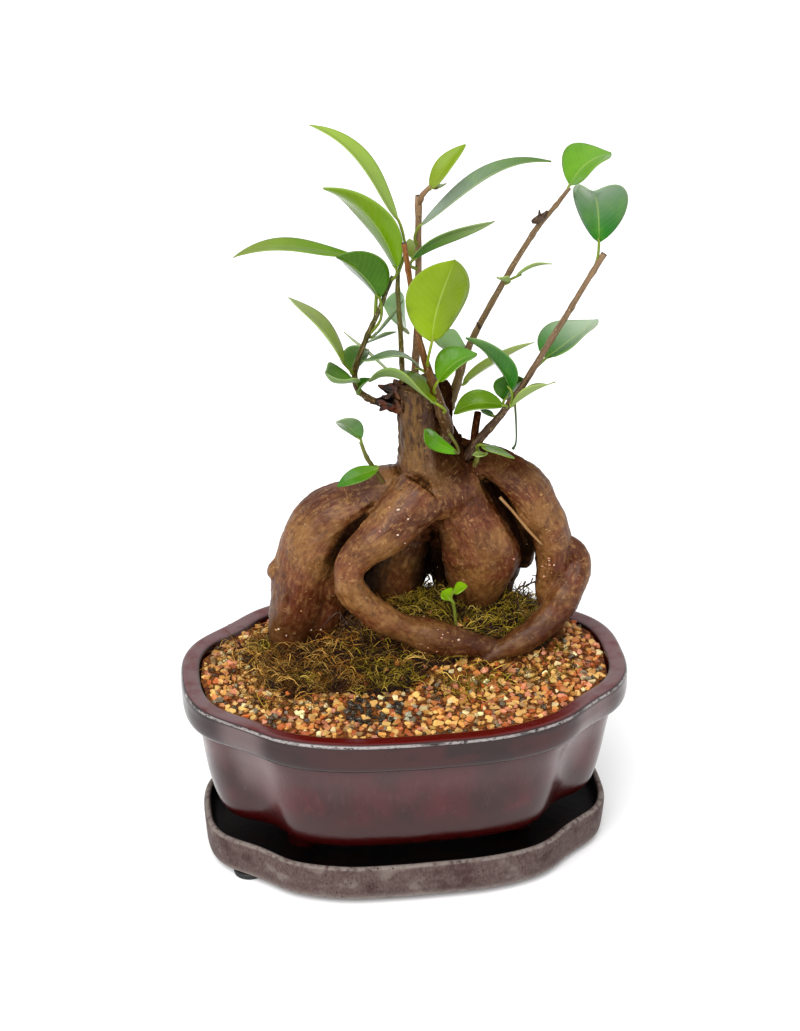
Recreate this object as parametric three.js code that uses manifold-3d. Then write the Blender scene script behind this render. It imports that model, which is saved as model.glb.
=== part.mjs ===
// A ginseng ficus in its glazed pot on a saucer.
//
// A small fig with thick looping roots stands in gravel in a four lobed bonsai pot.
// Millimetres, Z up. X runs along the pot, Y away from the front.
// The origin is on the table under the middle of the pot.

import * as THREE from 'three';
import { mergeVertices } from 'three/addons/utils/BufferGeometryUtils.js';
import Module from 'manifold-3d';

const wasm = await Module();
wasm.setup();

// Driving dimensions

const FIT = 0.3;                 // clearance left between two pieces that touch
const WELD = 1e-4;

const LONG_LOBES = { a: 82.5, b: 48, n: 2.7 };    // the lobes at the two ends
const WIDE_LOBES = { a: 70.5, b: 58.5, n: 2.86 }; // the lobes at front and back
const LOBE_BLEND = 24;           // how sharply the lobes meet in the four notches
const NOTCH_CROWDING = 3;        // more outline points where the lobes meet
const NOTCH_WIDTH = 0.12;
const OUTLINE_STEPS = 10;        // points in a quarter of the outline
// How far the notches press in, and how wide they are in radians
const CREASE = { rim: 1.2, wall: 4, saucer: 1.8, width: 0.17 };

const RIM_TOP = 72;
const RIM_WIDTH = 7;
const SAUCER_INSET = 6.8;        // saucer outline inside the rim outline
const SAUCER_FLOOR = 8;
const SAUCER_UNDERSIDE = 2.5;
const SAUCER_LIP = 16.3;
const POT_UNDERSIDE = 20.4;
const BAND_EDGE = 60;            // height of the step under the band of the rim

const PAD = { radius: 5.8, left: 61, right: 51, y: 22.5 };
const POT_FOOT = { radius: 6, x: 40, y: 16 };
const DRAIN = { radius: 6, height: 20, x: 30 };

const MOUND = { x: 17.6, y: 17.7, top: 88, edge: 69.6, right: 62, left: 75, front: 36, back: 34 };
const GROUND = { x: 168, y: 120, bottom: 10, top: 100 }; // a block that holds all of the filling
const GRAVEL_DEPTH = 4.5;
const GRAVEL_CELL = 9.8;
const PEBBLE_RELIEF = 0.8;
const MOSS_DEPTH = 2.2;

const ROOT_SIDES = 8;
const BLADE_ROW = 7;        // a blade has three to five rows of faces, each about this long
const BLADE_THICKNESS = 0.7;
const PETIOLE_RADIUS = 0.6;

// Small helpers

function seeded(i, j) {
  const s = Math.sin(i * 12.9898 + j * 78.233) * 43758.5453;
  return s - Math.floor(s);
}

function withoutSlivers(index) {
  const kept = [];
  for (let i = 0; i < index.length; i += 3) {
    const [a, b, c] = [index[i], index[i + 1], index[i + 2]];
    if (a !== b && b !== c && c !== a) {
      kept.push(a, b, c);
    }
  }
  return new Uint32Array(kept);
}

function solidFrom(geometry) {
  geometry.deleteAttribute('normal');
  geometry.deleteAttribute('uv');
  const merged = mergeVertices(geometry, WELD);
  return new wasm.Manifold(new wasm.Mesh({
    numProp: 3,
    vertProperties: merged.attributes.position.array,
    triVerts: withoutSlivers(merged.index.array),
  }));
}

function moved(geometry, place) {
  const position = geometry.attributes.position;
  const from = new THREE.Vector3();
  for (let i = 0; i < position.count; i += 1) {
    from.fromBufferAttribute(position, i);
    const to = place(from, i);
    position.setXYZ(i, to.x, to.y, to.z);
  }
  return geometry;
}

function joined(solids) {
  return solids.reduce((sum, solid) => sum.add(solid));
}

function cylinder(radius, height, x, y, z, sides = 16) {
  const geometry = new THREE.CylinderGeometry(radius, radius, height, sides);
  geometry.rotateX(Math.PI / 2);
  geometry.translate(x, y, z + height / 2);
  return solidFrom(geometry);
}

function fourCorners(x, y) {
  return [[x, y], [-x, y], [-x, -y], [x, -y]];
}

// The four lobed outline that the pot and the saucer share

function lobeRadius(lobe, angle) {
  const c = Math.abs(Math.cos(angle) / lobe.a) ** lobe.n;
  const s = Math.abs(Math.sin(angle) / lobe.b) ** lobe.n;
  return (c + s) ** (-1 / lobe.n);
}

function outlinePoint(angle) {
  const long = lobeRadius(LONG_LOBES, angle) ** LOBE_BLEND;
  const wide = lobeRadius(WIDE_LOBES, angle) ** LOBE_BLEND;
  const r = (long + wide) ** (1 / LOBE_BLEND);
  return new THREE.Vector2(r * Math.cos(angle), r * Math.sin(angle));
}

// The outline point moved inwards, further in the notches by the depth of the crease
function insetPoint(angle, inset, crease) {
  const step = 0.004;
  const along = outlinePoint(angle + step).sub(outlinePoint(angle - step)).normalize();
  const p = outlinePoint(angle);
  const fromX = Math.atan2(Math.abs(Math.sin(angle)), Math.abs(Math.cos(angle)));
  const depth = inset + crease * Math.exp(-(((fromX - NOTCH) / CREASE.width) ** 2));
  return new THREE.Vector2(p.x - along.y * depth, p.y + along.x * depth);
}

// The angle at which the long and the wide lobes cross
function notchAngle() {
  let low = 0;
  let high = Math.PI / 2;
  for (let i = 0; i < 40; i += 1) {
    const middle = (low + high) / 2;
    if (lobeRadius(LONG_LOBES, middle) > lobeRadius(WIDE_LOBES, middle)) {
      low = middle;
    } else {
      high = middle;
    }
  }
  return low;
}

const NOTCH = notchAngle();

// Angles round the outline, closer together in the notches
function outlineAngles() {
  const perQuarter = OUTLINE_STEPS;
  const fine = 400;
  const total = [0];
  for (let i = 0; i < fine; i += 1) {
    const angle = ((i + 0.5) / fine) * Math.PI / 2;
    const near = Math.exp(-(((angle - NOTCH) / NOTCH_WIDTH) ** 2));
    total.push(total[i] + 1 + NOTCH_CROWDING * near);
  }
  const quarter = [];
  for (let k = 0, i = 0; k < perQuarter; k += 1) {
    const wanted = (k / perQuarter) * total[fine];
    while (total[i + 1] < wanted) {
      i += 1;
    }
    const part = (wanted - total[i]) / (total[i + 1] - total[i]);
    quarter.push(((i + part) / fine) * Math.PI / 2);
  }
  const half = [...quarter, Math.PI / 2, ...quarter.slice(1).reverse().map((a) => Math.PI - a)];
  const all = [...half, ...half.map((a) => a + Math.PI)];
  return [...all, 2 * Math.PI];
}

// A closed body that follows the outline. Each station is [inset, share, z].
// A share below one draws the ring in towards the middle. A list that runs downwards
// is turned so that its faces still look outwards.
function lobedBody(stations, creaseAt) {
  const angles = outlineAngles();
  const profile = stations.map((s, j) => new THREE.Vector2(1, j));
  const geometry = new THREE.LatheGeometry(profile, angles.length - 1);
  moved(geometry, (from, index) => {
    const [inset, share, z] = stations[index % stations.length];
    const angle = angles[Math.floor(index / stations.length)] % (2 * Math.PI);
    const p = insetPoint(angle, inset, creaseAt(z));
    return new THREE.Vector3(p.x * share, p.y * share, z);
  });
  if (stations[0][2] > stations.at(-1)[2]) {
    geometry.index.array.reverse();
  }
  return solidFrom(geometry);
}

// Pot and saucer

function saucerStations() {
  const lip = SAUCER_LIP;
  const outer = SAUCER_INSET;
  return [
    [outer + 1.8, 0, SAUCER_UNDERSIDE],
    [outer + 1.8, 1, SAUCER_UNDERSIDE],
    [outer + 1, 1, SAUCER_UNDERSIDE + 0.8],
    [outer + 0.5, 1, 6],
    [outer, 1, 13],
    [outer + 0.2, 1, lip - 0.7],
    [outer + 1, 1, lip],
    [outer + 1.8, 1, lip],
    [outer + 2.6, 1, lip - 0.8],
    [outer + 3.2, 1, 11],
    [outer + 4.6, 1, SAUCER_FLOOR + 0.7],
    [outer + 7, 1, SAUCER_FLOOR],
    [outer + 7, 0, SAUCER_FLOOR],
  ];
}

function saucer() {
  return lobedBody(saucerStations(), () => CREASE.saucer);
}

// The notches are shallow at the rim and deep in the wall
function potCrease(z) {
  const within = THREE.MathUtils.clamp(z, 48, 66);
  return THREE.MathUtils.mapLinear(within, 48, 66, CREASE.wall, CREASE.rim);
}

function potStations() {
  return [
    [16, 0, POT_UNDERSIDE],
    [16, 0.94, POT_UNDERSIDE],
    [15, 1, POT_UNDERSIDE + 0.9],
    [12.2, 1, 24.4],
    [10, 1, 31],
    [7.9, 1, 42],
    [5.4, 1, 57],
    [4.8, 1, BAND_EDGE - 0.4],
    [1.4, 1, BAND_EDGE + 0.3],
    [0.3, 1, BAND_EDGE + 2],
    [0, 1, 65],
    [0, 1, 70.4],
    [0.8, 1, 71.7],
    [2, 1, RIM_TOP],
    [5.6, 1, RIM_TOP - 0.3],
    [RIM_WIDTH, 1, RIM_TOP - 1.2],
    ...cavityStations(0),
  ];
}

// The inner wall of the pot from under the rim down to the floor
function cavityStations(clearance) {
  return [
    [7.4, 1, 67.6],
    [10.8, 1, 61.5],
    [14, 1, 42],
    [16, 1, 29],
    [16, 0.95, 26],
    [16, 0.86, 24.8],
    [16, 0, 24.8],
  ].map(([inset, share, z]) => [inset + clearance, share, z + clearance]);
}

function pot() {
  let body = lobedBody(potStations(), potCrease);
  for (const [x, y] of fourCorners(POT_FOOT.x, POT_FOOT.y)) {
    const bottom = SAUCER_FLOOR + FIT;
    body = body.add(cylinder(POT_FOOT.radius, POT_UNDERSIDE + 1 - bottom, x, y, bottom));
  }
  for (const x of [-DRAIN.x, DRAIN.x]) {
    body = body.subtract(cylinder(DRAIN.radius, DRAIN.height, x, 0, SAUCER_FLOOR));
  }
  return body;
}

function padPlaces() {
  return [[PAD.right, PAD.y], [-PAD.left, PAD.y], [-PAD.left, -PAD.y], [PAD.right, -PAD.y]];
}

function saucerPad(x, y) {
  return cylinder(PAD.radius, SAUCER_UNDERSIDE - FIT, x, y, 0);
}

// Soil, gravel and moss

function moundHeight(x, y) {
  const alongX = x > MOUND.x ? MOUND.right : MOUND.left;
  const alongY = y > MOUND.y ? MOUND.back : MOUND.front;
  const q = ((x - MOUND.x) / alongX) ** 2 + ((y - MOUND.y) / alongY) ** 2;
  const rise = Math.max(0, 1 - q) ** 2;
  return MOUND.edge + (MOUND.top - MOUND.edge) * rise;
}

// A block whose top follows the mound, lifted, with a pebble relief of a set height
function ground(cell, lift, relief, bottom = GROUND.bottom) {
  const columns = Math.ceil(GROUND.x / cell);
  const rows = Math.ceil(GROUND.y / cell);
  const box = new THREE.BoxGeometry(columns, rows, 1, columns, rows, 1);
  moved(box, (from) => {
    const x = from.x * cell;
    const y = from.y * cell;
    if (from.z < 0) {
      return new THREE.Vector3(x, y, bottom);
    }
    const grain = (seeded(Math.round(from.x * 2), Math.round(from.y * 2)) - 0.5) * 2 * relief;
    return new THREE.Vector3(x, y, moundHeight(x, y) + lift + grain);
  });
  return solidFrom(box);
}

// The inside of the pot, less the clearance, open upwards past the rim
function potFilling() {
  const inset = RIM_WIDTH + FIT;
  const collar = [[inset, 0, GROUND.top], [inset, 1, GROUND.top], [inset, 1, RIM_TOP - 1.5]];
  return lobedBody([...collar, ...cavityStations(FIT)], potCrease);
}

function soilTop(lift) {
  return ground(GRAVEL_CELL * 2, lift - GRAVEL_DEPTH, 0);
}

function pottingSoil(roots) {
  return potFilling().intersect(soilTop(0)).subtract(roots);
}

function gravel(roots) {
  const stones = ground(GRAVEL_CELL, 0, PEBBLE_RELIEF);
  return potFilling().intersect(stones).subtract(soilTop(FIT)).subtract(roots);
}

// Each patch is [x, y, radius along x, radius along y]
const MOSS_PATCHES = [
  [-37, 6, 20, 23],
  [-14, -4, 24, 16],
  [14, 5, 24, 14],
  [42, 11, 15, 13],
  [-6, 24, 34, 14],
  [30, 25, 24, 13],
];

function mossPatch(x, y, alongX, alongY) {
  const geometry = new THREE.CylinderGeometry(1, 1, GROUND.top, 16);
  geometry.rotateX(Math.PI / 2);
  geometry.translate(0, 0, GROUND.top / 2 + 1);
  moved(geometry, (from) => {
    const angle = Math.atan2(from.y, from.x);
    const edge = 1 + 0.07 * Math.sin(3 * angle + x) + 0.05 * Math.sin(5 * angle + y);
    return new THREE.Vector3(x + from.x * alongX * edge, y + from.y * alongY * edge, from.z);
  });
  return solidFrom(geometry);
}

function moss(roots) {
  const area = joined(MOSS_PATCHES.map((patch) => mossPatch(...patch)));
  const top = ground(GRAVEL_CELL, MOSS_DEPTH, PEBBLE_RELIEF);
  const under = ground(GRAVEL_CELL, FIT, PEBBLE_RELIEF, GROUND.bottom / 2);
  return area.intersect(top).intersect(potFilling()).subtract(under).subtract(roots);
}

// Round bodies along a curve. Each station is [x, y, z, radius].
// Spread makes the body larger all round, for the hole that it stands in.
function tube(stations, { sides = 6, perStation = 2, spread = 0, knobs = 0, phase = 0 } = {}) {
  const curve = new THREE.CatmullRomCurve3(stations.map((s) => new THREE.Vector3(s[0], s[1], s[2])));
  const sizes = new THREE.CatmullRomCurve3(stations.map((s) => new THREE.Vector3(s[3], 0, 0)));
  const rows = (stations.length - 1) * perStation;
  const frames = curve.computeFrenetFrames(rows);
  const geometry = new THREE.CylinderGeometry(1, 1, 1, sides, rows);
  moved(geometry, (from) => {
    const row = Math.round((0.5 - from.y) * rows);
    const share = row / rows;
    const t = curve.getUtoTmapping(share);
    const around = Math.atan2(from.x, from.z);
    const lump = Math.sin(3 * around + 7 * share + phase) + Math.sin(2 * around - 11 * share);
    const radius = sizes.getPoint(t).x * (1 + knobs * lump) + spread;
    return curve.getPoint(t)
      .addScaledVector(frames.tangents[row], spread * (2 * share - 1))
      .addScaledVector(frames.normals[row], from.x * radius)
      .addScaledVector(frames.binormals[row], from.z * radius);
  });
  return solidFrom(geometry);
}

// Trunk and roots

const ROOTS = {
  trunk: [[9, 13, 178, 9.6], [9, 13, 168, 9.8], [10, 13, 157, 10.2], [12, 12, 148, 13], [15, 12, 140, 16],
    [17, 13, 132, 14]],
  farLeft: [[5, 14, 137, 9], [-5, 15, 134, 10.5], [-15, 15, 128, 12], [-25, 15, 123, 13],
    [-32, 15, 113, 12.5], [-36, 15, 101, 11], [-38, 16, 89, 10], [-40, 18, 78, 8], [-41, 19, 67, 6.5],
    [-41, 20, 55, 5]],
  leftInner: [[-22, 16, 122, 11], [-26, 17, 106, 10.5], [-27, 18, 92, 9.3], [-28, 19, 73, 6.5]],
  frontLoop: [[7, 4, 139, 10], [0, 0, 133, 9.5], [-10, -5, 126, 8], [-20, -6, 117, 6], [-21, -7, 109, 5.4],
    [-16, -7, 101, 5.4], [-8, -7, 94, 5.5], [2, -6, 88, 5.6], [12, -6, 84, 6.4], [22, -5, 81, 5],
    [30, -4, 78, 4], [37, -4, 75, 3.2]],
  bulb: [[18, 12, 140, 12], [24, 12, 130, 12.6], [28.5, 12, 120, 14.3], [31, 14, 110, 15.4],
    [30, 16, 99, 12.5], [30, 19, 88, 8.5], [31, 22, 79, 6.5], [32, 24, 68, 5]],
  rightArch: [[22, 11, 149, 7], [29.5, 9, 148.5, 6.2], [37, 7, 145, 6.8], [44, 5, 139.5, 7.9],
    [50, 4, 129.5, 8], [54.5, 4.5, 119, 7.1], [56, 5.5, 107.5, 6.2], [55.5, 7, 95.5, 5.6],
    [58, 10, 71, 4.2]],
  rightLoop: [[57, 5, 116, 3.5], [63, 4, 113, 3.8], [66, 4, 107, 4.2], [64, 2, 101, 5.2], [60, 1, 94, 6],
    [54, -1, 87, 5.6], [47, -3, 82, 5.2], [40, -5, 79, 4.6], [34, -6, 77, 3.4], [28, -7, 73, 2.6]],
  rearLeft: [[13, 22, 130, 11], [7, 29, 116, 12.5], [1, 32, 100, 13.5], [0, 33, 86, 11.5], [1, 33, 70, 7]],
  rearMiddle: [[18, 20, 134, 14], [20, 27, 120, 13], [20, 30, 108, 10], [20.5, 31, 97, 7.8], [22, 31, 86, 6],
    [22, 31, 74, 5]],
  rearRight: [[27, 20, 131, 9], [38, 26, 115, 9], [42, 27, 100, 7.5], [40, 28, 86, 5.5], [39, 27, 73, 5],
    [39, 26, 62, 4.5]],
  rearOuter: [[30, 22, 128, 12], [40, 22, 118, 9.5], [46, 22, 108, 7], [49, 22, 97, 3.5]],
};

// The broken branch at the top left of the trunk, the stub of a cut twig and a knob on the left root
const BROKEN_BRANCH = [
  [[3, 13, 170, 5.4], [-4, 13, 171, 4], [-9, 12, 172, 2.8], [-13, 12, 172, 1.4]],
  [[-3, 13, 171, 3], [-6, 13, 176, 2.4], [-8, 13, 179, 1.4]],
];
const CUT_STUB = [[26, 5, 151, 1.8], [26, 4, 161, 1.4], [27, 4, 169, 1.3]];
const SIDE_KNOB = [[-42, 16, 106, 5.5], [-46, 16, 106, 4], [-48, 16, 107, 1.6]];

function rootBodies(spread) {
  return joined(Object.values(ROOTS).map((stations, i) => (
    tube(stations, { sides: ROOT_SIDES, spread, knobs: 0.02, phase: i })
  )));
}

function trunkAndRoots(shootHoles) {
  const small = [...BROKEN_BRANCH, CUT_STUB, SIDE_KNOB].map((stations) => tube(stations));
  return joined([rootBodies(0), ...small]).subtract(shootHoles);
}

// Leaves

// Half the width of the blade at a share of its length. The tail is its drawn out tip.
function bladeHalfWidth({ width, widest, tail }, share) {
  const body = Math.min(1, share / (1 - tail));
  const form = Math.sin(Math.PI * body ** (Math.log(0.5) / Math.log(widest))) ** 0.75;
  return Math.max(0.45, (width / 2) * form);
}

// Turns the far face into the same triangles as the near one, so that the blade keeps its thickness
function matchFaces(box) {
  const far = box.groups[5];
  const index = box.index.array;
  for (let i = far.start; i < far.start + far.count; i += 6) {
    const [a, b, d, c] = [index[i], index[i + 1], index[i + 2], index[i + 4]];
    index.set([a, b, c, a, c, d], i);
  }
}

// A blade from base to tip. Roll turns its upper face away from the sky, in degrees. Arch bows
// it upwards, late moves that bow towards the tip, and fold lifts its two halves from the midrib.
function blade(leaf) {
  const { base, tip, roll, arch, late, fold } = leaf;
  const from = new THREE.Vector3(...base);
  const along = new THREE.Vector3(...tip).sub(from);
  const length = along.length();
  along.normalize();
  const sky = new THREE.Vector3(0, 0, 1).addScaledVector(along, -along.z).normalize();
  const upper = sky.applyAxisAngle(along, THREE.MathUtils.degToRad(roll));
  const rows = Math.max(3, Math.min(5, Math.round(length / BLADE_ROW)));
  const box = new THREE.BoxGeometry(2, 1, 1, 2, rows, 1);
  matchFaces(box);
  moved(box, (at) => {
    const share = at.y + 0.5;
    const bow = 4 * arch * (1 + late * (2 * share - 1));
    const slope = Math.atan(bow * (1 - 2 * share) + 8 * arch * late * share * (1 - share));
    const ahead = along.clone().multiplyScalar(Math.cos(slope)).addScaledVector(upper, Math.sin(slope));
    const up = upper.clone().multiplyScalar(Math.cos(slope)).addScaledVector(along, -Math.sin(slope));
    const side = new THREE.Vector3().crossVectors(ahead, up);
    const out = at.x * bladeHalfWidth(leaf, share);
    const lift = Math.abs(out) * Math.tan(THREE.MathUtils.degToRad(fold)) + at.z * BLADE_THICKNESS;
    return from.clone()
      .addScaledVector(along, length * share)
      .addScaledVector(upper, bow * length * share * (1 - share))
      .addScaledVector(side, out)
      .addScaledVector(up, lift);
  });
  return solidFrom(box);
}

// The stalk of a leaf, from the stem into the foot of the blade
function petiole(start, { base, tip }) {
  const foot = new THREE.Vector3(...base);
  const along = new THREE.Vector3(...tip).sub(foot).normalize();
  const end = foot.clone().addScaledVector(along, 1.2);
  const gap = start.distanceTo(foot);
  const bend = foot.clone().addScaledVector(along, -0.3 * gap);
  const middle = start.clone().lerp(bend, 0.6);
  const stations = [start, middle, end].map((p) => [p.x, p.y, p.z, PETIOLE_RADIUS]);
  return tube(stations, { sides: 4, perStation: 1 });
}

// A leafy shoot: a stem, its side twigs and all that grows on it, as one body
function leafyShoot({ stem, twigs = [], leaves }) {
  const line = new THREE.CatmullRomCurve3(stem.map((s) => new THREE.Vector3(s[0], s[1], s[2])));
  const parts = [stem, ...twigs].map((stations) => tube(stations, { sides: 5, perStation: 1 }));
  for (const leaf of leaves) {
    const start = leaf.from ? new THREE.Vector3(...leaf.from) : line.getPointAt(leaf.at);
    parts.push(petiole(start, leaf), blade(leaf));
  }
  return joined(parts);
}

// The hole in the wood that the foot of a stem stands in
function stemHole({ stem }) {
  return tube(stem, { sides: 5, perStation: 1, spread: FIT });
}

// The forms of this fig's leaves: the share of its length where a blade is widest, the share taken
// by its drawn out tip, and how far its bow lies towards the tip
const EGG = { widest: 0.35, tail: 0, late: 0 };
const OVAL = { widest: 0.45, tail: 0, late: 0 };
const ROUND = { widest: 0.55, tail: 0.05, late: 0 };
const POINTED = { widest: 0.5, tail: 0.15, late: 0 };
const HOOKED = { widest: 0.45, tail: 0, late: 0.7 };
const HUMPED = { widest: 0.45, tail: 0, late: -0.7 };

// Stems have a place and a radius at each station. A leaf leaves its stem at a share of the stem's
// length, or from a point of its own.
const SHOOTS = {
  far_left_shoot: {
    stem: [[-9, 12, 172, 1.3], [-12, 12, 174, 1.2], [-15, 12, 177, 1.1], [-16, 12, 183, 1.05],
      [-14, 10, 192, 1], [-11, 8, 201, 0.95], [-8, 6, 209, 0.85], [-5, 6, 217, 0.8], [-3, 7, 221, 0.7]],
    leaves: [
      {
        at: 0.55, base: [-8, 4, 214], tip: [-23, 4, 230],
        width: 16, roll: -130, arch: -0.1, fold: -35, ...OVAL,
      },
      {
        at: 0.7, base: [-17, 9, 229], tip: [-58, 9, 230],
        width: 8, roll: -15, arch: 0.1, fold: 10, ...HOOKED,
      },
      {
        at: 0.25, base: [-20, 10, 188], tip: [-39, 10, 214],
        width: 13, roll: -10, arch: 0.05, fold: 20, ...EGG,
      },
      {
        at: 0.97, base: [-2, 5, 224], tip: [-27, 6, 254],
        width: 17, roll: -140, arch: -0.15, fold: -15, ...OVAL,
      },
      { at: 0.5, base: [-12, 9, 196], tip: [-1, 13, 198], width: 6, roll: -30, arch: 0, fold: 20, ...OVAL },
      {
        at: 0.55, base: [-10, 9, 198], tip: [1, 12, 210],
        width: 6, roll: -40, arch: -0.05, fold: 10, ...POINTED,
      },
      {
        at: 0.15, base: [-16, 10, 181], tip: [-27, 3, 188],
        width: 15, roll: -5, arch: -0.15, fold: 35, ...HOOKED,
      },
      {
        at: 0.15, base: [-15, 10, 176], tip: [-11, 10, 182],
        width: 6, roll: 0, arch: 0.1, fold: 30, ...HUMPED,
      },
      {
        at: 0.25, base: [-17, 15, 183], tip: [-11, 14, 191],
        width: 10, roll: 115, arch: -0.25, fold: -20, ...OVAL,
      },
    ],
  },
  left_upright_shoot: {
    stem: [[2, 13, 170, 1], [1, 12, 183, 0.95], [0, 10, 200, 0.9], [-1, 9, 214, 0.85], [-1, 9, 222, 0.75]],
    leaves: [
      {
        at: 0.98, base: [-1, 8, 241], tip: [-30, 18, 273],
        width: 9, roll: -10, arch: 0.1, fold: 30, ...HOOKED,
      },
      {
        at: 0.6, base: [4, 24, 194], tip: [-5, 22, 205],
        width: 21, roll: -25, arch: 0.15, fold: 10, ...ROUND,
      },
      { at: 0.2, base: [-1, 19, 179], tip: [-18, 25, 194], width: 5, roll: 15, arch: 0, fold: 5, ...OVAL },
    ],
  },
  front_cut_shoot: {
    stem: [[14.5, 7, 156, 2.4], [16, 4, 163, 2.4], [13, 0, 173, 2.1], [10, -2, 183, 1.7],
      [5, -3, 200, 1.15], [2, 0, 221, 1], [0, 1, 235, 0.95]],
    leaves: [
      {
        at: 0.45, base: [8, -11, 203], tip: [15, -15, 234],
        width: 22, roll: 125, arch: -0.1, fold: -25, ...HUMPED,
      },
      {
        at: 0.3, base: [11, -6, 186], tip: [25, -4, 195],
        width: 12, roll: 15, arch: 0.15, fold: 30, ...OVAL,
      },
      {
        at: 0.2, base: [10, -9, 179], tip: [-12, 5, 183],
        width: 21, roll: 25, arch: 0.15, fold: 20, ...HOOKED,
      },
      {
        at: 0.35, base: [6, 1, 188], tip: [-15, 0, 193],
        width: 9, roll: 10, arch: 0.15, fold: 15, ...HUMPED,
      },
      {
        from: [16, 3, 163], base: [18, -8, 159], tip: [5, -15, 172],
        width: 6, roll: -80, arch: -0.2, fold: -25, ...HUMPED,
      },
    ],
  },
  tall_upright_shoot: {
    stem: [[6, 15, 170, 1.5], [6, 15, 180, 1.35], [7, 15, 208, 1.2], [7, 15, 247, 1.15]],
    twigs: [[[7, 15, 243, 1.05], [8, 14, 247, 1], [11, 13, 251, 0.75]]],
    leaves: [
      {
        at: 0.75, base: [7, 12, 237], tip: [53, 13, 258],
        width: 9, roll: 5, arch: 0.1, fold: 30, ...HOOKED,
      },
      {
        at: 0.65, base: [4, 10, 225], tip: [33, 10, 238],
        width: 5, roll: 110, arch: -0.1, fold: 15, ...HUMPED,
      },
      { at: 0.7, base: [5, 17, 224], tip: [5, 22, 229], width: 5, roll: 10, arch: 0.05, fold: 15, ...OVAL },
      {
        from: [10.5, 13, 250], base: [10.5, 12, 250], tip: [23, 14, 265],
        width: 7, roll: 25, arch: 0.05, fold: 25, ...OVAL,
      },
      {
        from: [11, 13, 250.5], base: [13, 13, 250], tip: [17, 18, 250],
        width: 4, roll: -15, arch: 0.05, fold: 10, ...OVAL,
      },
    ],
  },
  right_tall_shoot: {
    stem: [[17, 14, 165, 2.2], [20, 14, 173, 1.8], [25, 15, 189, 1.3], [35, 14, 210, 1.1],
      [44, 14, 226, 1], [50, 13, 236, 1.05], [53, 12, 240, 0.9], [56, 10, 245, 0.8], [59, 10, 249, 0.7]],
    leaves: [
      {
        at: 0.99, base: [59, 10, 250], tip: [74, 13, 260],
        width: 21, roll: 5, arch: 0.15, fold: 20, ...OVAL,
      },
      {
        at: 0.55, base: [42, 16, 215], tip: [55, 17, 219],
        width: 6, roll: -25, arch: 0.1, fold: 20, ...EGG,
      },
      {
        at: 0.55, base: [39, 12, 215], tip: [34, 9, 218],
        width: 5, roll: 20, arch: -0.05, fold: 30, ...ROUND,
      },
      {
        at: 0.25, base: [25, 17, 188], tip: [13, 25, 190],
        width: 11, roll: 75, arch: -0.1, fold: 35, ...POINTED,
      },
      {
        at: 0.15, base: [24, 18, 174], tip: [50, 20, 188],
        width: 6, roll: 120, arch: -0.05, fold: -25, ...EGG,
      },
    ],
  },
  right_low_shoot: {
    stem: [[23, 6, 150, 1.7], [27, 2, 159, 1.6], [31, 0, 165, 1.45], [35, -3, 172, 1.3],
      [41, -5, 182, 1.15], [50, -7, 199, 1.1], [56, -8, 210, 1.05], [61, -8, 219, 1], [68, -8, 231, 1.1]],
    leaves: [
      {
        at: 0.93, base: [66, -8, 235], tip: [60, -18, 257],
        width: 19, roll: -170, arch: -0.25, fold: -40, ...POINTED,
      },
      { at: 0.45, base: [50, -2, 191], tip: [70, 7, 201], width: 21, roll: -5, arch: 0, fold: 25, ...EGG },
      {
        at: 0.3, base: [37, -6, 181], tip: [22, 3, 198],
        width: 13, roll: -125, arch: -0.1, fold: -25, ...EGG,
      },
      {
        at: 0.3, base: [36, 2, 174], tip: [43, -1, 183],
        width: 12, roll: 130, arch: -0.1, fold: -30, ...EGG,
      },
      {
        at: 0.35, base: [37, -6, 175], tip: [52, -9, 185],
        width: 9, roll: -20, arch: 0.05, fold: 30, ...POINTED,
      },
      {
        at: 0.3, base: [34, -7, 176], tip: [17, -3, 172],
        width: 8, roll: -35, arch: 0.25, fold: 35, ...OVAL,
      },
      {
        at: 0.25, base: [32, 0, 169], tip: [28, 4, 170],
        width: 3, roll: -5, arch: 0.05, fold: 10, ...OVAL,
      },
    ],
  },
  low_left_twig: {
    stem: [[-5, 9, 139, 1], [-11, 6, 150, 0.85], [-13, 5, 154, 0.75], [-15, 4, 160, 0.65]],
    leaves: [
      {
        at: 0.99, base: [-15, 4, 161], tip: [-24, -2, 171],
        width: 8, roll: -140, arch: -0.1, fold: -25, ...OVAL,
      },
      {
        at: 0.5, base: [-9, 3, 150], tip: [-24, 2, 144],
        width: 6, roll: -40, arch: 0.1, fold: 15, ...HOOKED,
      },
    ],
  },
  low_right_leaves: {
    stem: [[26, 4, 148, 1], [27, 2, 153, 0.8], [27, 1, 155, 0.7]],
    leaves: [
      { at: 0.95, base: [27, -4, 160], tip: [38, -10, 157], width: 7, roll: -10, arch: 0, fold: 5, ...EGG },
      {
        at: 0.8, base: [29, -3, 156], tip: [24, -3, 156],
        width: 6, roll: 5, arch: -0.05, fold: 10, ...ROUND,
      },
    ],
  },
};

// A seedling with two round leaves in the moss in front of the bulb
const SEEDLING = {
  stem: [[20, 2, 78, 0.6], [19, 1, 90, 0.6], [18, -0.6, 96, 0.6]],
  leaves: [
    { at: 0.97, base: [17, -1, 97], tip: [14, 1, 100], width: 8, roll: -5, arch: 0.05, fold: 15, ...ROUND },
    { at: 0.95, base: [18, -1, 100], tip: [23, -2, 103], width: 6, roll: 15, arch: 0.1, fold: 10, ...OVAL },
  ],
};

// The nodes

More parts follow.
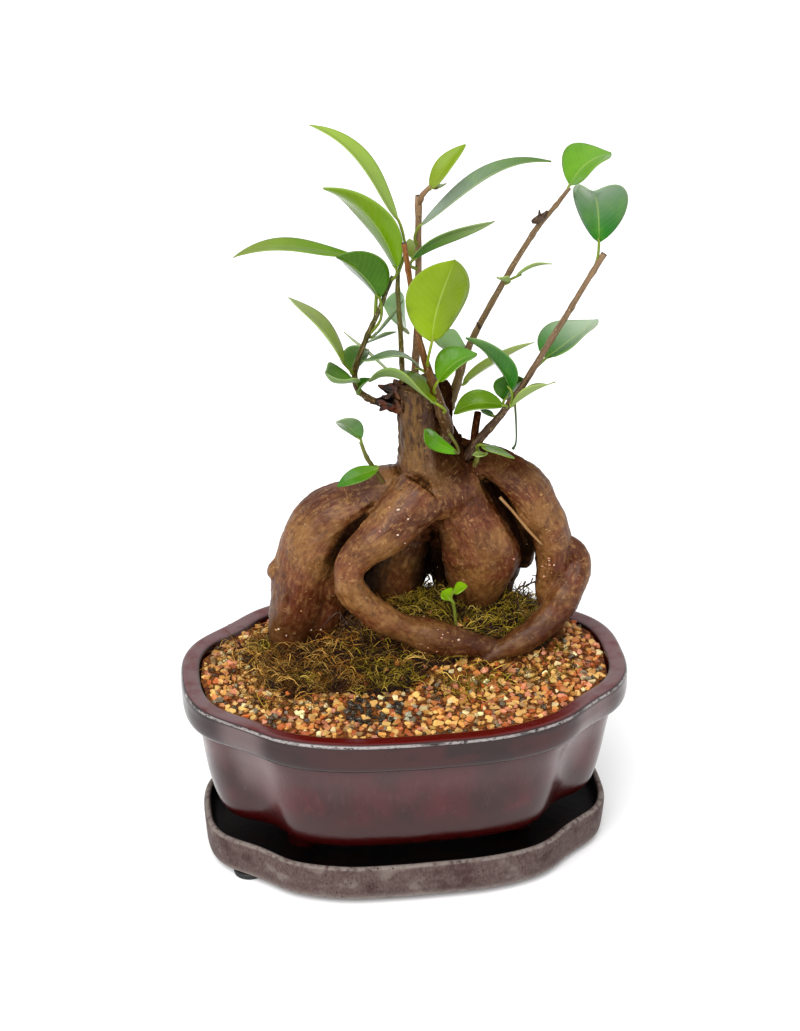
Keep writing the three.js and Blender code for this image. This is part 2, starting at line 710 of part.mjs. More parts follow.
const COLOURS = {
  glaze: { color: 0x4a1a20, roughness: 0.25 },
  saucerGlaze: { color: 0x50383a, roughness: 0.35 },
  rubber: { color: 0x141414, roughness: 0.8 },
  soil: { color: 0x35251a, roughness: 0.95 },
  gravel: { color: 0xb98a5c, roughness: 0.9 },
  moss: { color: 0x5a5a1e, roughness: 0.95 },
  bark: { color: 0x6e4b34, roughness: 0.8 },
  leaf: { color: 0x4f8a22, roughness: 0.45 },
};

function node(name, solid, finish) {
  const mesh = solid.getMesh();
  const geometry = new THREE.BufferGeometry();
  geometry.setAttribute('position', new THREE.BufferAttribute(mesh.vertProperties, 3));
  geometry.setIndex(new THREE.BufferAttribute(mesh.triVerts, 1));
  geometry.computeVertexNormals();
  const object = new THREE.Mesh(geometry, new THREE.MeshStandardMaterial(finish));
  object.name = name;
  return object;
}

function pottedFig() {
  const group = new THREE.Group();
  const widerRoots = rootBodies(FIT);
  const groundHole = widerRoots.add(stemHole(SEEDLING));
  const shootHoles = joined(Object.values(SHOOTS).map(stemHole));

  group.add(node('saucer', saucer(), COLOURS.saucerGlaze));
  padPlaces().forEach(([x, y], i) => {
    group.add(node(`saucer_pad_${i + 1}`, saucerPad(x, y), COLOURS.rubber));
  });
  group.add(node('pot', pot(), COLOURS.glaze));
  group.add(node('potting_soil', pottingSoil(groundHole), COLOURS.soil));
  group.add(node('gravel', gravel(groundHole), COLOURS.gravel));
  group.add(node('moss', moss(groundHole), COLOURS.moss));
  group.add(node('trunk_and_roots', trunkAndRoots(shootHoles), COLOURS.bark));
  for (const [name, shoot] of Object.entries(SHOOTS)) {
    group.add(node(name, leafyShoot(shoot), COLOURS.leaf));
  }
  group.add(node('seedling', leafyShoot(SEEDLING), COLOURS.leaf));
  return group;
}

export default pottedFig();
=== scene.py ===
# %% [markdown]
# A small fig with thick roots in a glazed pot, standing on its saucer.
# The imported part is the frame: it fixes every size and place. This lesson dresses it. It turns the
# plain solids into glazed clay, bark, leaves, grit and moss, one piece at a time.

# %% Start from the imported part
import math
import random

import bmesh
import bpy
from mathutils import Matrix, Vector, noise
from mathutils.bvhtree import BVHTree
from mathutils.kdtree import KDTree


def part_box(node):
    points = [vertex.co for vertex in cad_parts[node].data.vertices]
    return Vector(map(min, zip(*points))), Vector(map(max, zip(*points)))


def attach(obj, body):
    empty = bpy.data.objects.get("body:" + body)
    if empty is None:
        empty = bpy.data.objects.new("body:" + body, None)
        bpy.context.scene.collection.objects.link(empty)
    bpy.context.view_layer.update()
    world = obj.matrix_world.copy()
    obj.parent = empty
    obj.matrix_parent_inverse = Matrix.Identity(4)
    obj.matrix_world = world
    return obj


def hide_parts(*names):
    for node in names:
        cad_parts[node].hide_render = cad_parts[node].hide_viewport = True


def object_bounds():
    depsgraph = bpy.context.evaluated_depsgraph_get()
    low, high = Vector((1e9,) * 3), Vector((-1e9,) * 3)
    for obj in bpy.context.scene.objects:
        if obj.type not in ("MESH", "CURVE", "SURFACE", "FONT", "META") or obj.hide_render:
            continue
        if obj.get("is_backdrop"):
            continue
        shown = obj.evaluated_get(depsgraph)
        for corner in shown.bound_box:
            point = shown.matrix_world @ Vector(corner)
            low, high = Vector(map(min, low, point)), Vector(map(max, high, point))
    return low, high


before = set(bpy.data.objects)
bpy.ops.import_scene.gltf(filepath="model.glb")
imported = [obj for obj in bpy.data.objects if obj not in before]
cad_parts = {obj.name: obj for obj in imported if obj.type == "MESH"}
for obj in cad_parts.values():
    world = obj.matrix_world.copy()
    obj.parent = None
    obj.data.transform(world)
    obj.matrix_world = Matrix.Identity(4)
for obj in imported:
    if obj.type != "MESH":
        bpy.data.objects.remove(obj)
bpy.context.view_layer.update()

MM = 0.001

# %% [markdown]
# The camera comes first, so that every later step can be judged from the same place. The picture was
# taken from a little to the left and from above. It could be framed by eye, but the rim and the
# saucer are four lobed shapes of known size, so their outlines fix the distance and the angles.

# %% Camera at the picture's place
VIEW_TURN = math.radians(-8)
VIEW_RISE = math.radians(26)
VIEW_DISTANCE = 0.9
AIM_HEIGHT = 0.132
AIM_TO_THE_LEFT = 0.0015
sideways = Vector((math.cos(VIEW_TURN), math.sin(VIEW_TURN), 0))
backwards = Vector((math.sin(VIEW_TURN) * math.cos(VIEW_RISE),
                    -math.cos(VIEW_TURN) * math.cos(VIEW_RISE), math.sin(VIEW_RISE)))
aim = Vector((0, 0, AIM_HEIGHT)) - sideways * AIM_TO_THE_LEFT

camera_data = bpy.data.cameras.new("camera")
camera_data.sensor_width = 36
camera_data.lens = 87.5
camera = bpy.data.objects.new("camera", camera_data)
camera.location = aim + backwards * VIEW_DISTANCE
camera.rotation_mode = "QUATERNION"
camera.rotation_quaternion = (-backwards).to_track_quat("-Z", "Y")
bpy.context.scene.collection.objects.link(camera)
bpy.context.scene.camera = camera
print("camera at", [round(v, 3) for v in camera.location])

# %% [markdown]
# The picture is high key: white table, white wall, soft light from all round and hardly a shadow.
# A white world gives the soft part, and a broad sun from the upper left gives the gloss its
# direction. A lamp close by would light the table unevenly, which the picture doesn't show. The
# light is strong enough to burn the table out to white, so every colour is held back a little.

# %% White table and soft light
scene = bpy.context.scene
scene.view_settings.view_transform = "Standard"
scene.world = bpy.data.worlds.new("white_studio")
scene.world.use_nodes = True
background = scene.world.node_tree.nodes["Background"]
background.inputs["Color"].default_value = (1, 1, 1, 1)
background.inputs["Strength"].default_value = 0.95

sun_data = bpy.data.lights.new("broad_sun", "SUN")
sun_data.energy = 3.2
sun_data.angle = math.radians(50)
sun = bpy.data.objects.new("broad_sun", sun_data)
sun.rotation_euler = (math.radians(38), math.radians(-24), 0)
scene.collection.objects.link(sun)

table_mesh = bpy.data.meshes.new("table")
bm = bmesh.new()
bmesh.ops.create_grid(bm, x_segments=1, y_segments=1, size=4)
bm.to_mesh(table_mesh)
bm.free()
table = bpy.data.objects.new("table", table_mesh)
scene.collection.objects.link(table)
table_white = bpy.data.materials.new("table_white")
table_white.use_nodes = True
table_shader = table_white.node_tree.nodes["Principled BSDF"]
table_shader.inputs["Base Color"].default_value = (0.9, 0.9, 0.9, 1)
table_shader.inputs["Roughness"].default_value = 0.6
table_mesh.materials.append(table_white)
table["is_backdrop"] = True

# %% [markdown]
# Every finish below is a set of nodes. Written out one by one they would hide the idea behind the
# wiring, so a small class adds a node, wires what it is given and hands back the output. Patterns
# read the place on the object in millimetres, or a value kept on the piece's own mesh. Most finishes
# are a ground colour with thin coats of other tones over parts of it.

# %% A helper that builds finishes


# In a white room every surface is lit from all sides and carries a thin white sheen. Both are taken
# off the colour that is seen, to find the colour of the thing itself.
BRIGHT_ROOM = 0.76
SHEEN = 0.011
DARKEST = 0.0012


def linear(red, green, blue):
    """The colour of a thing that is seen as this colour on a screen, 0 to 255, in this room."""
    def share(value):
        s = value / 255
        light = s / 12.92 if s <= 0.04045 else ((s + 0.055) / 1.055) ** 2.4
        return max(BRIGHT_ROOM * light - SHEEN, DARKEST)
    return (share(red), share(green), share(blue), 1)


class Finish:
    def __init__(self, name, roughness, gloss=0.5):
        self.material = bpy.data.materials.new(name)
        self.material.use_nodes = True
        self.nodes = self.material.node_tree.nodes
        self.shader = self.nodes["Principled BSDF"]
        self.rough(roughness)
        self.gloss(gloss)

    def wire(self, socket, value):
        if isinstance(value, bpy.types.NodeSocket):
            self.material.node_tree.links.new(value, socket)
        else:
            socket.default_value = value

    def add(self, kind, inputs, **settings):
        node = self.nodes.new(kind)
        for name, value in settings.items():
            setattr(node, name, value)
        for key, value in inputs.items():
            self.wire(node.inputs[key], value)
        return node

    def colour(self, value):
        self.wire(self.shader.inputs["Base Color"], value)

    def rough(self, value):
        self.wire(self.shader.inputs["Roughness"], value)

    def gloss(self, value):
        self.wire(self.shader.inputs["Specular IOR Level"], value)

    def relief(self, height, depth_mm):
        """Small bumps that are depth_mm high where height goes from 0 to 1."""
        node = self.add("ShaderNodeBump", {"Height": height, "Distance": depth_mm * MM})
        self.wire(self.shader.inputs["Normal"], node.outputs[0])

    def kept(self, name, output="Vector"):
        """A value that each point of the mesh keeps."""
        return self.add("ShaderNodeAttribute", {}, attribute_name=name).outputs[output]

    def stretched(self, vector, stretch):
        return self.add("ShaderNodeMapping", {"Vector": vector, "Scale": stretch}).outputs[0]

    def place(self, stretch=(1, 1, 1)):
        """The place on the object in millimetres, stretched along an axis."""
        coords = self.nodes.new("ShaderNodeTexCoord")
        return self.stretched(coords.outputs["Object"], [1000 * s for s in stretch])

    def parts(self, vector):
        return self.add("ShaderNodeSeparateXYZ", {0: vector}).outputs[:3]

    def cloud(self, vector, size, detail=3, twist=0.0):
        """Soft random patches about size millimetres across, from 0 to 1."""
        inputs = {"Vector": vector, "Scale": 1 / size, "Detail": detail, "Distortion": twist}
        return self.add("ShaderNodeTexNoise", inputs).outputs["Fac"]

    def specks(self, vector, size):
        """Distance from scattered points about size millimetres apart."""
        return self.add("ShaderNodeTexVoronoi", {"Vector": vector, "Scale": 1 / size}).outputs["Distance"]

    def between(self, value, low, high):
        """0 at low and 1 at high, and no further."""
        inputs = {"Value": value, "From Min": low, "From Max": high}
        return self.add("ShaderNodeMapRange", inputs, interpolation_type="SMOOTHSTEP").outputs[0]

    def maths(self, kind, a, b=0):
        return self.add("ShaderNodeMath", {0: a, 1: b}, operation=kind).outputs[0]

    def times(self, a, b):
        return self.maths("MULTIPLY", a, b)

    def plus(self, a, b):
        return self.maths("ADD", a, b)

    def size_of(self, value):
        return self.maths("ABSOLUTE", value)

    def wavy(self, value, size, detail, reach):
        """The value with soft random waves of up to reach added."""
        return self.plus(value, self.times(self.cloud(self.place(), size, detail), reach))

    def speckles(self, vector, size, reach):
        """Scattered fine specks: 1 on a speck and 0 off it."""
        near = self.between(self.specks(vector, size), reach, reach * 0.5)
        return self.times(near, self.between(self.cloud(vector, size * 3), 0.5, 0.56))

    def blend(self, share, a, b):
        """From a to b. A colour is an output, or three numbers from 0 to 255 as it is seen."""
        a, b = [linear(*tone) if isinstance(tone, tuple) else tone for tone in (a, b)]
        return self.add("ShaderNodeMix", {0: share, 6: a, 7: b}, data_type="RGBA").outputs[2]

    def coats(self, colour, rows):
        """Other tones laid over the colour, one by one. Each row is where, how strongly, which tone."""
        for where, strength, tone in rows:
            colour = self.blend(self.times(where, strength), colour, tone)
        return colour


# %% [markdown]
# A piece is modelled in millimetres in a bmesh and then put into the scene in metres, at the
# origin, riding on the frame. One function does that for all pieces, so that none is forgotten.

# %% A helper that puts a piece into the scene


def kept_mesh(name, bm):
    """The bmesh as a mesh. The bmesh is freed."""
    mesh = bpy.data.meshes.new(name)
    bm.to_mesh(mesh)
    bm.free()
    return mesh


def placed(name, mesh):
    """An object with this mesh, linked into the scene."""
    thing = bpy.data.objects.new(name, mesh)
    scene.collection.objects.link(thing)
    return thing


def show(name, bm, finishes, nodes=(), smooth=True):
    bmesh.ops.scale(bm, vec=(MM, MM, MM), verts=bm.verts)
    mesh = kept_mesh(name, bm)
    for finish in finishes:
        mesh.materials.append(finish.material)
    mesh.shade_smooth() if smooth else mesh.shade_flat()
    piece = placed(name, mesh)
    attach(piece, "root")
    if nodes:
        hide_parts(*nodes)
    mesh.calc_loop_triangles()
    print(name, len(mesh.loop_triangles), "triangles")


# %% [markdown]
# Pot and saucer are pressed from the same four lobed outline: two long lobes at the ends, two wide
# ones at front and back, and a notch where they meet. A circle pulled about by hand would never
# give the same curve twice, so the outline is a formula: the larger of two rounded boxes at each
# angle, blended where they cross, and pressed in at the notches.

# %% The four lobed outline
LONG_LOBES = (82.5, 48, 2.7)
WIDE_LOBES = (70.5, 58.5, 2.86)
LOBE_BLEND = 24
NOTCH_WIDTH = 0.17


def lobe_radius(lobe, angle):
    a, b, power = lobe
    return (abs(math.cos(angle) / a) ** power + abs(math.sin(angle) / b) ** power) ** (-1 / power)


def outline_point(angle):
    long, wide = lobe_radius(LONG_LOBES, angle), lobe_radius(WIDE_LOBES, angle)
    radius = (long ** LOBE_BLEND + wide ** LOBE_BLEND) ** (1 / LOBE_BLEND)
    return Vector((radius * math.cos(angle), radius * math.sin(angle)))


def notch_angle():
    low, high = 0, math.pi / 2
    for _ in range(40):
        middle = (low + high) / 2
        if lobe_radius(LONG_LOBES, middle) > lobe_radius(WIDE_LOBES, middle):
            low = middle
        else:
            high = middle
    return low


NOTCH = notch_angle()


def notch_nearness(angle):
    from_x = math.atan2(abs(math.sin(angle)), abs(math.cos(angle)))
    return math.exp(-(((from_x - NOTCH) / NOTCH_WIDTH) ** 2))


def inset_point(angle, inset, crease):
    """The outline moved inwards, and further in the notches."""
    along = (outline_point(angle + 0.004) - outline_point(angle - 0.004)).normalized()
    depth = inset + crease * notch_nearness(angle)
    return outline_point(angle) + Vector((-along.y, along.x)) * depth


print("notches at", round(math.degrees(NOTCH), 1), "degrees from the long axis")

# %% [markdown]
# The walls could be lofted ring by ring. It is shorter to spin one upright line of points into a
# tube first and then to move every point to its place: its height says which station of the profile
# it belongs to, and its direction says where round the outline it lies.

# %% Spun tubes and bodies on the outline


def ring_stack(rows, sides):
    """A straight tube. A vertex's height is the number of its ring."""
    bm = bmesh.new()
    upright = [bm.verts.new((1, 0, row)) for row in range(rows)]
    line = [bm.edges.new(pair) for pair in zip(upright, upright[1:])]
    bmesh.ops.spin(bm, geom=upright + line, cent=(0, 0, 0), axis=(0, 0, 1), angle=math.tau,
                   steps=sides, use_merge=True)
    return bm


def rounded_profile(stations, steps, sharp):
    """More stations on a smooth line through the given ones. The sharp ones keep their corner."""
    points = [Vector(s) for s in stations]
    finer = []
    for i, (a, b) in enumerate(zip(points, points[1:])):
        before = points[i - 1] if i > 0 and i not in sharp else a - (b - a)
        after = points[i + 2] if i + 2 < len(points) and i + 1 not in sharp else b + (b - a)
        for k in range(steps):
            t = k / steps
            finer.append(0.5 * (2 * a + (b - before) * t + (2 * before - 5 * a + 4 * b - after) * t * t
                                + (3 * a - before - 3 * b + after) * t ** 3))
    return [*finer, points[-1]]


UNEVEN = 0.5


def lobed_body(stations, crease_at, columns):
    """Each station is [inset, share, height, mark]. The mark is kept on the mesh for the finish."""
    bm = ring_stack(len(stations), columns)
    mark = bm.verts.layers.float.new("mark")
    notch = bm.verts.layers.float.new("notch")
    for v in bm.verts:
        inset, share, z, kept = stations[round(v.co.z)]
        angle = math.atan2(v.co.y, v.co.x)
        wave = noise.noise(Vector((3 * math.cos(angle), 3 * math.sin(angle), z / 25))) * UNEVEN
        p = inset_point(angle, inset + wave, crease_at(z)) * share
        v.co = (p.x, p.y, z)
        v[mark] = kept
        v[notch] = notch_nearness(angle)
    bmesh.ops.remove_doubles(bm, verts=bm.verts, dist=1e-4)
    bmesh.ops.recalc_face_normals(bm, faces=bm.faces)
    return bm


# %% [markdown]
# The glaze is a glossy oxblood red over grey brown clay. It runs thin on edges, where it breaks to
# black and pale grey, and gathers in grooves, where it is nearly black. A plain red wouldn't do: the
# white room that it mirrors gives it the mauve look, and part of that is painted into the colour as
# painted reflection: greyer towards the band, deep red at the foot, a painted highlight in the notches
# and a mauve grey rim top at the ends and back. The profile keeps a mark on each station: +1 where
# the glaze is thin, -1 where it pools.

# %% Oxblood glaze


def oxblood_glaze():
    f = Finish("oxblood_glaze", 0.15, 0.4)
    here = f.place()
    x, y, height = f.parts(here)
    runs = f.cloud(f.place((1, 1, 0.3)), 1.8, 6)
    patches = f.cloud(f.place((1, 1, 0.6)), 17, 4)
    band = f.between(height, 58, 61)
    band_patches = f.between(f.cloud(f.place((0.5, 0.5, 1)), 11, 4), 0.47, 0.6)
    # painted highlight: the wall is painted paler in the notches
    notch = f.times(f.between(f.kept("notch", "Fac"), 0.35, 0.95), f.between(height, 34, 48))
    ends_and_back = f.maths("MAXIMUM", f.between(f.size_of(x), 40, 72), f.between(y, 0, 30))
    # painted reflection: the top of the rim is painted mauve grey in patches at its ends and back, where
    # it mirrors the white room
    room_reflection = f.times(ends_and_back, f.between(f.cloud(here, 9, 4), 0.3, 0.6))
    rim_top = f.blend(f.times(room_reflection, 0.8), (98, 18, 18), (118, 92, 94))
    mark = f.kept("mark", "Fac")
    broad = f.between(f.cloud(f.place((0.3, 0.3, 1)), 4, 5), 0.34, 0.5)
    fine = f.between(f.cloud(f.place((0.5, 0.5, 1)), 0.7, 4), 0.3, 0.55)
    thin = f.times(f.between(mark, 0.5, 0.95), f.times(broad, fine))
    f.colour(f.coats(f.blend(f.between(patches, 0.36, 0.62), (57, 15, 20), (81, 33, 37)), [
        (f.between(runs, 0.52, 0.8), 0.3, (96, 64, 66)),  # pale runs
        (f.between(runs, 0.46, 0.26), 0.3, (44, 14, 18)),  # dark runs
        (f.between(f.wavy(height, 12, 3, 14), 46, 64), 0.4, (100, 74, 76)),  # painted reflection of the white room: greyer towards the band
        (band, 0.85, (62, 9, 16)),  # the band
        (f.times(band, band_patches), 0.6, (36, 24, 28)),  # its dark patches
        (f.times(band, f.between(x, -20, -62)), 0.55, (34, 24, 28)),  # its darker left end
        (f.between(f.wavy(height, 8, 4, 16), 46, 38), 1, (62, 4, 8)),  # painted reflection of the dark saucer: deep red at the foot
        (notch, 0.4, (150, 128, 128)),  # painted highlight in the notches
        (f.between(height, 71.2, 71.6), 0.9, rim_top),  # the top of the rim, with its painted reflection
        (f.between(mark, 0.1, 0.5), 0.85, (40, 24, 30)),  # nearly black beside the edges
        (thin, 0.8, (176, 168, 166)),  # pale where it is thin on them
        (f.between(mark, -0.2, -0.9), 1, (22, 8, 10)),  # pooled in the groove
        (f.speckles(f.place((1.1, 0.9, 1.3)), 3.1, 0.1), 1, (40, 16, 20)),  # dark specks
    ]))
    f.rough(f.plus(0.12, f.times(f.cloud(here, 6, 4), 0.2)))
    f.relief(f.cloud(here, 5, 3), 0.1)
    return f


glaze = oxblood_glaze()

# %% [markdown]
# The pot narrows towards its foot, with a projecting band under the rim and a groove below the
# band. Its four feet and two drain holes are joined and cut as a potter would, on the finished body.

# %% Pot
POT_COLUMNS = 360
WALL_CREASE, BAND_CREASE = 4, 1.2


def pot_crease(z):
    """How far the notches are pressed in: deep in the wall and shallow in the band."""
    share = min(max((z - 48) / 18, 0), 1)
    return WALL_CREASE + (BAND_CREASE - WALL_CREASE) * share


pot_stations = [
    [16, 0, 20.4, 0], [16, 0.94, 20.4, 0], [15.4, 1, 20.8, 0], [14, 1, 22, 0], [12.2, 1, 24.4, 0],
    [11, 1, 27.4, 0], [10, 1, 31, 0], [8.9, 1, 36, 0], [7.9, 1, 42, 0], [6.9, 1, 49, 0], [5.9, 1, 54, 0],
    [5.4, 1, 57, 0.12], [5.3, 1, 58.6, -0.5], [4.8, 1, 59.6, -1], [3.4, 1, 59.8, -0.7],
    [1.4, 1, 60.3, 0.2], [0.3, 1, 62, 0.25], [0, 1, 65, 0], [0.1, 1, 68, 0], [0.1, 1, 69.8, 0.1],
    [0.35, 1, 70.9, 1], [0.9, 1, 71.6, 0.4], [1.9, 1, 72, 0], [3.6, 1, 71.9, 0], [5.6, 1, 71.7, 0],
    [6.6, 1, 71.3, 0.2], [7, 1, 70.8, 0.1], [7.4, 1, 67.6, 0], [10.8, 1, 61.5, 0],
    [14, 1, 42, 0], [16, 1, 29, 0], [16, 0.95, 26, 0], [16, 0.86, 24.8, 0], [16, 0, 24.8, 0],
]
pot_body = lobed_body(rounded_profile(pot_stations, 3, (0, 1, 32, 33)), pot_crease, POT_COLUMNS)


def round_block(radius, height, x, y, bottom, edge=0.0):
    """A short round block with a softened edge."""
    bm = bmesh.new()
    place = Matrix.Translation((x, y, bottom + height / 2))
    bmesh.ops.create_cone(bm, cap_ends=True, segments=48, radius1=radius, radius2=radius, depth=height,
                          matrix=place)
    if edge:
        rims = [e for e in bm.edges if abs(e.verts[0].co.z - e.verts[1].co.z) < 1e-6]
        bmesh.ops.bevel(bm, geom=rims, offset=edge, segments=3, affect="EDGES", profile=0.5, material=-1)
    return bm


def tool_object(name, bm):
    """A mesh that only shapes another one and isn't kept."""
    return placed(name, kept_mesh(name, bm))


def applied(obj):
    """The object's mesh with its modifiers worked in, as a bmesh. The object is removed."""
    mesh = bpy.data.meshes.new_from_object(obj.evaluated_get(bpy.context.evaluated_depsgraph_get()))
    bm = bmesh.new()
    bm.from_mesh(mesh)
    bpy.data.meshes.remove(mesh)
    bpy.data.objects.remove(obj)
    return bm


def combined(body, others, operation):
    """The body with all the others joined to it or cut from it."""
    target = tool_object("target", body)
    tools = [tool_object("tool", other) for other in others]
    for tool in tools:
        step = target.modifiers.new("step", "BOOLEAN")
        step.operation = operation
        step.object = tool
        step.solver = "EXACT"
    result = applied(target)
    for tool in tools:
        bpy.data.objects.remove(tool)
    return result


FOOT_RADIUS, FOOT_HEIGHT, FOOT_BOTTOM = 6, 13.1, 8.3
DRAIN_RADIUS, DRAIN_HEIGHT, DRAIN_BOTTOM = 6, 20, 8
feet = [round_block(FOOT_RADIUS, FOOT_HEIGHT, x, y, FOOT_BOTTOM, edge=0.5)
        for x in (-40, 40) for y in (-16, 16)]
pot_body = combined(pot_body, feet, "UNION")
drains = [round_block(DRAIN_RADIUS, DRAIN_HEIGHT, x, 0, DRAIN_BOTTOM) for x in (-30, 30)]
pot_body = combined(pot_body, drains, "DIFFERENCE")
show("glazed_pot", pot_body, [glaze], ["pot"])

# %% [markdown]
# The saucer has the same outline, a little smaller. Inside it is nearly black, and outside the
# glaze is thin over the clay: grey brown, with upright streaks and a pale lip, and paler towards the
# foot as a painted highlight. Its mark is above 0 on the inside, below 0 on the outside, and -1 on
# the edges, where the glaze is thin.

# %% Saucer


def saucer_finish():
    f = Finish("saucer_glaze", 0.3, 0.05)
    here = f.place()
    mark = f.kept("mark", "Fac")
    streaks = f.cloud(f.place((1, 1, 0.5)), 0.8, 6)
    patches = f.cloud(f.place((1, 1, 1.2)), 9, 6)
    outside = f.coats(f.blend(f.between(streaks, 0.3, 0.7), (88, 73, 71), (107, 92, 88)), [
        (f.between(patches, 0.52, 0.7), 0.6, (66, 50, 50)),  # dark patches
        (f.between(patches, 0.46, 0.32), 0.6, (134, 122, 116)),  # pale patches
        (f.between(f.parts(here)[2], 6, 3), 0.5, (136, 126, 122)),  # painted highlight: paler towards the foot
    ])
    inside = f.coats(f.blend(f.between(f.cloud(here, 9, 4), 0.35, 0.65), (24, 4, 6), (38, 8, 10)), [
        (f.speckles(here, 2.6, 0.14), 1, (56, 26, 26)),
    ])
    ragged = f.between(f.cloud(here, 2, 4), 0.3, 0.6)
    pale = f.times(f.between(f.size_of(mark), 0.6, 0.95), ragged)
    f.colour(f.coats(f.blend(f.between(mark, 0.15, -0.2), inside, outside), [
        (f.times(pale, f.between(mark, 0.55, 0.4)), 0.6, (150, 141, 134)),  # edges where it is thin
        (f.speckles(f.place((1.1, 0.9, 1.2)), 2.1, 0.2), 1, (52, 38, 38)),  # dark specks
    ]))
    f.rough(f.plus(0.4, f.times(f.between(mark, 0.2, -0.4), 0.1)))
    f.relief(f.cloud(here, 2.2, 4), 0.12)
    return f


SAUCER_COLUMNS = 300
SAUCER_INSET = 6.8
SAUCER_CREASE = 1.8
saucer_profile = [
    [1.8, 0, 2.5, -0.3], [1.8, 1, 2.5, -0.6], [1.1, 1, 3, -1], [0.8, 1, 4, -0.7], [0.5, 1, 6, -0.3],
    [0, 1, 13, -0.3], [0.1, 1, 15, -0.6], [0.5, 1, 15.9, -1], [1.1, 1, 16.3, -1], [1.7, 1, 16.3, -0.9],
    [2.4, 1, 15.8, 0], [2.9, 1, 14, 1], [3.2, 1, 11, 1], [4.6, 1, 8.7, 1], [7, 1, 8, 1], [7, 0.5, 8, 1],
    [7, 0, 8, 1],
]
saucer_stations = [[SAUCER_INSET + inset, share, z, mark] for inset, share, z, mark in saucer_profile]
saucer_body = lobed_body(rounded_profile(saucer_stations, 4, (0, 1, 14, 15, 16)),
                         lambda z: SAUCER_CREASE, SAUCER_COLUMNS)
show("glazed_saucer", saucer_body, [saucer_finish()], ["saucer"])

# %% [markdown]
# Four round rubber pads keep the saucer off the table. They are turned discs with a soft edge.

# %% Rubber pads


def rubber_finish():
    f = Finish("black_rubber", 0.6)
    grain = f.cloud(f.place(), 0.5, 3)
    f.colour(f.blend(grain, (14, 13, 13), (34, 32, 32)))
    f.relief(grain, 0.05)
    return f


PAD_RADIUS = 5.8
rubber = rubber_finish()
for number in (1, 2, 3, 4):
    low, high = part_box(f"saucer_pad_{number}")
    middle = (low + high) / 2 / MM
    pad = round_block(PAD_RADIUS, (high.z - low.z) / MM, middle.x, middle.y, low.z / MM, edge=0.6)
    show(f"rubber_pad_{number}", pad, [rubber], [f"saucer_pad_{number}"])

# %% [markdown]
# Roots, stems and leaf stalks are all round bodies along a curve. Each is given by stations of
# place and thickness. The curve through them is the same kind as in the solids, so the fine pieces
# lie where the solids lie.

# %% Round bodies along a curve
# Which of a shoot's finishes a face gets, where it isn't the twig's own
CUT, LEAF, STALK = 1, 2, 3


def smooth_line(stations, per_span):
    """Stations on a smooth curve through the given ones, each [x, y, z, radius]."""
    points = [Vector(s) for s in stations]
    points = [2 * points[0] - points[1], *points, 2 * points[-1] - points[-2]]
    line = []
    for a, b, c, d in zip(points, points[1:], points[2:], points[3:]):
        gaps = [max((q.xyz - p.xyz).length ** 0.5, 1e-3) for p, q in ((a, b), (b, c), (c, d))]
        start = ((b - a) / gaps[0] - (c - a) / (gaps[0] + gaps[1]) + (c - b) / gaps[1]) * gaps[1]
        end = ((c - b) / gaps[1] - (d - b) / (gaps[1] + gaps[2]) + (d - c) / gaps[2]) * gaps[1]
        for k in range(per_span):
            t = k / per_span
            line.append(b + start * t + (3 * (c - b) - 2 * start - end) * t * t
                        + (start + end - 2 * (c - b)) * t ** 3)
    return [*line, points[-2]]


def carried_frames(line):
    """For each point of the line, its direction and two cross directions that turn with it."""
    ways = []
    for i in range(len(line)):
        before, after = line[max(i - 1, 0)].xyz, line[min(i + 1, len(line) - 1)].xyz
        ways.append((after - before).normalized())
    cross = ways[0].orthogonal().normalized()
    frames = []
    for way in ways:
        cross = (cross - way * cross.dot(way)).normalized()
        frames.append((way, cross, way.cross(cross)))
    return frames


def lengths_along(line):
    """How far each point of the line is from its start."""
    run = [0.0]
    for a, b in zip(line, line[1:]):
        run.append(run[-1] + (b.xyz - a.xyz).length)
    return run


def tube(stations, sides, per_span, swell=None, capped=True):
    """swell(angle, share, run) is the factor on the radius. Capped ends get the finish of a cut."""
    line = smooth_line(stations, per_span)
    frames, run = carried_frames(line), lengths_along(line)
    bm = ring_stack(len(line), sides)
    grain = bm.verts.layers.float_vector.new("grain")
    for v in bm.verts:
        row, angle = round(v.co.z), math.atan2(v.co.y, v.co.x)
        radius = line[row].w
        if swell:
            radius *= swell(angle, row / (len(line) - 1), run[row])
        _, cross, across = frames[row]
        v[grain] = (line[row].w * math.cos(angle), line[row].w * math.sin(angle), run[row])
        v.co = line[row].xyz + (cross * math.cos(angle) + across * math.sin(angle)) * radius
    ends = [e for e in bm.edges if e.is_boundary]
    for face in bmesh.ops.holes_fill(bm, edges=ends, sides=0)["faces"]:
        face.material_index = CUT if capped else 0
    bmesh.ops.recalc_face_normals(bm, faces=bm.faces)
    return bm


def in_finish(bm, number):
    for face in bm.faces:
        face.material_index = number
    return bm


def pour(target, source):
    """Adds a finished bmesh to another one."""
    mesh = kept_mesh("part", source)
    target.from_mesh(mesh)
    bpy.data.meshes.remove(mesh)


# %% [markdown]
# The trunk and the thick roots grew together into one body. Tubes that cross would show hard seams,
# so they are melted into one skin with a voxel remesh and smoothed, and only then given their
# lumps, wrinkles and ridges.

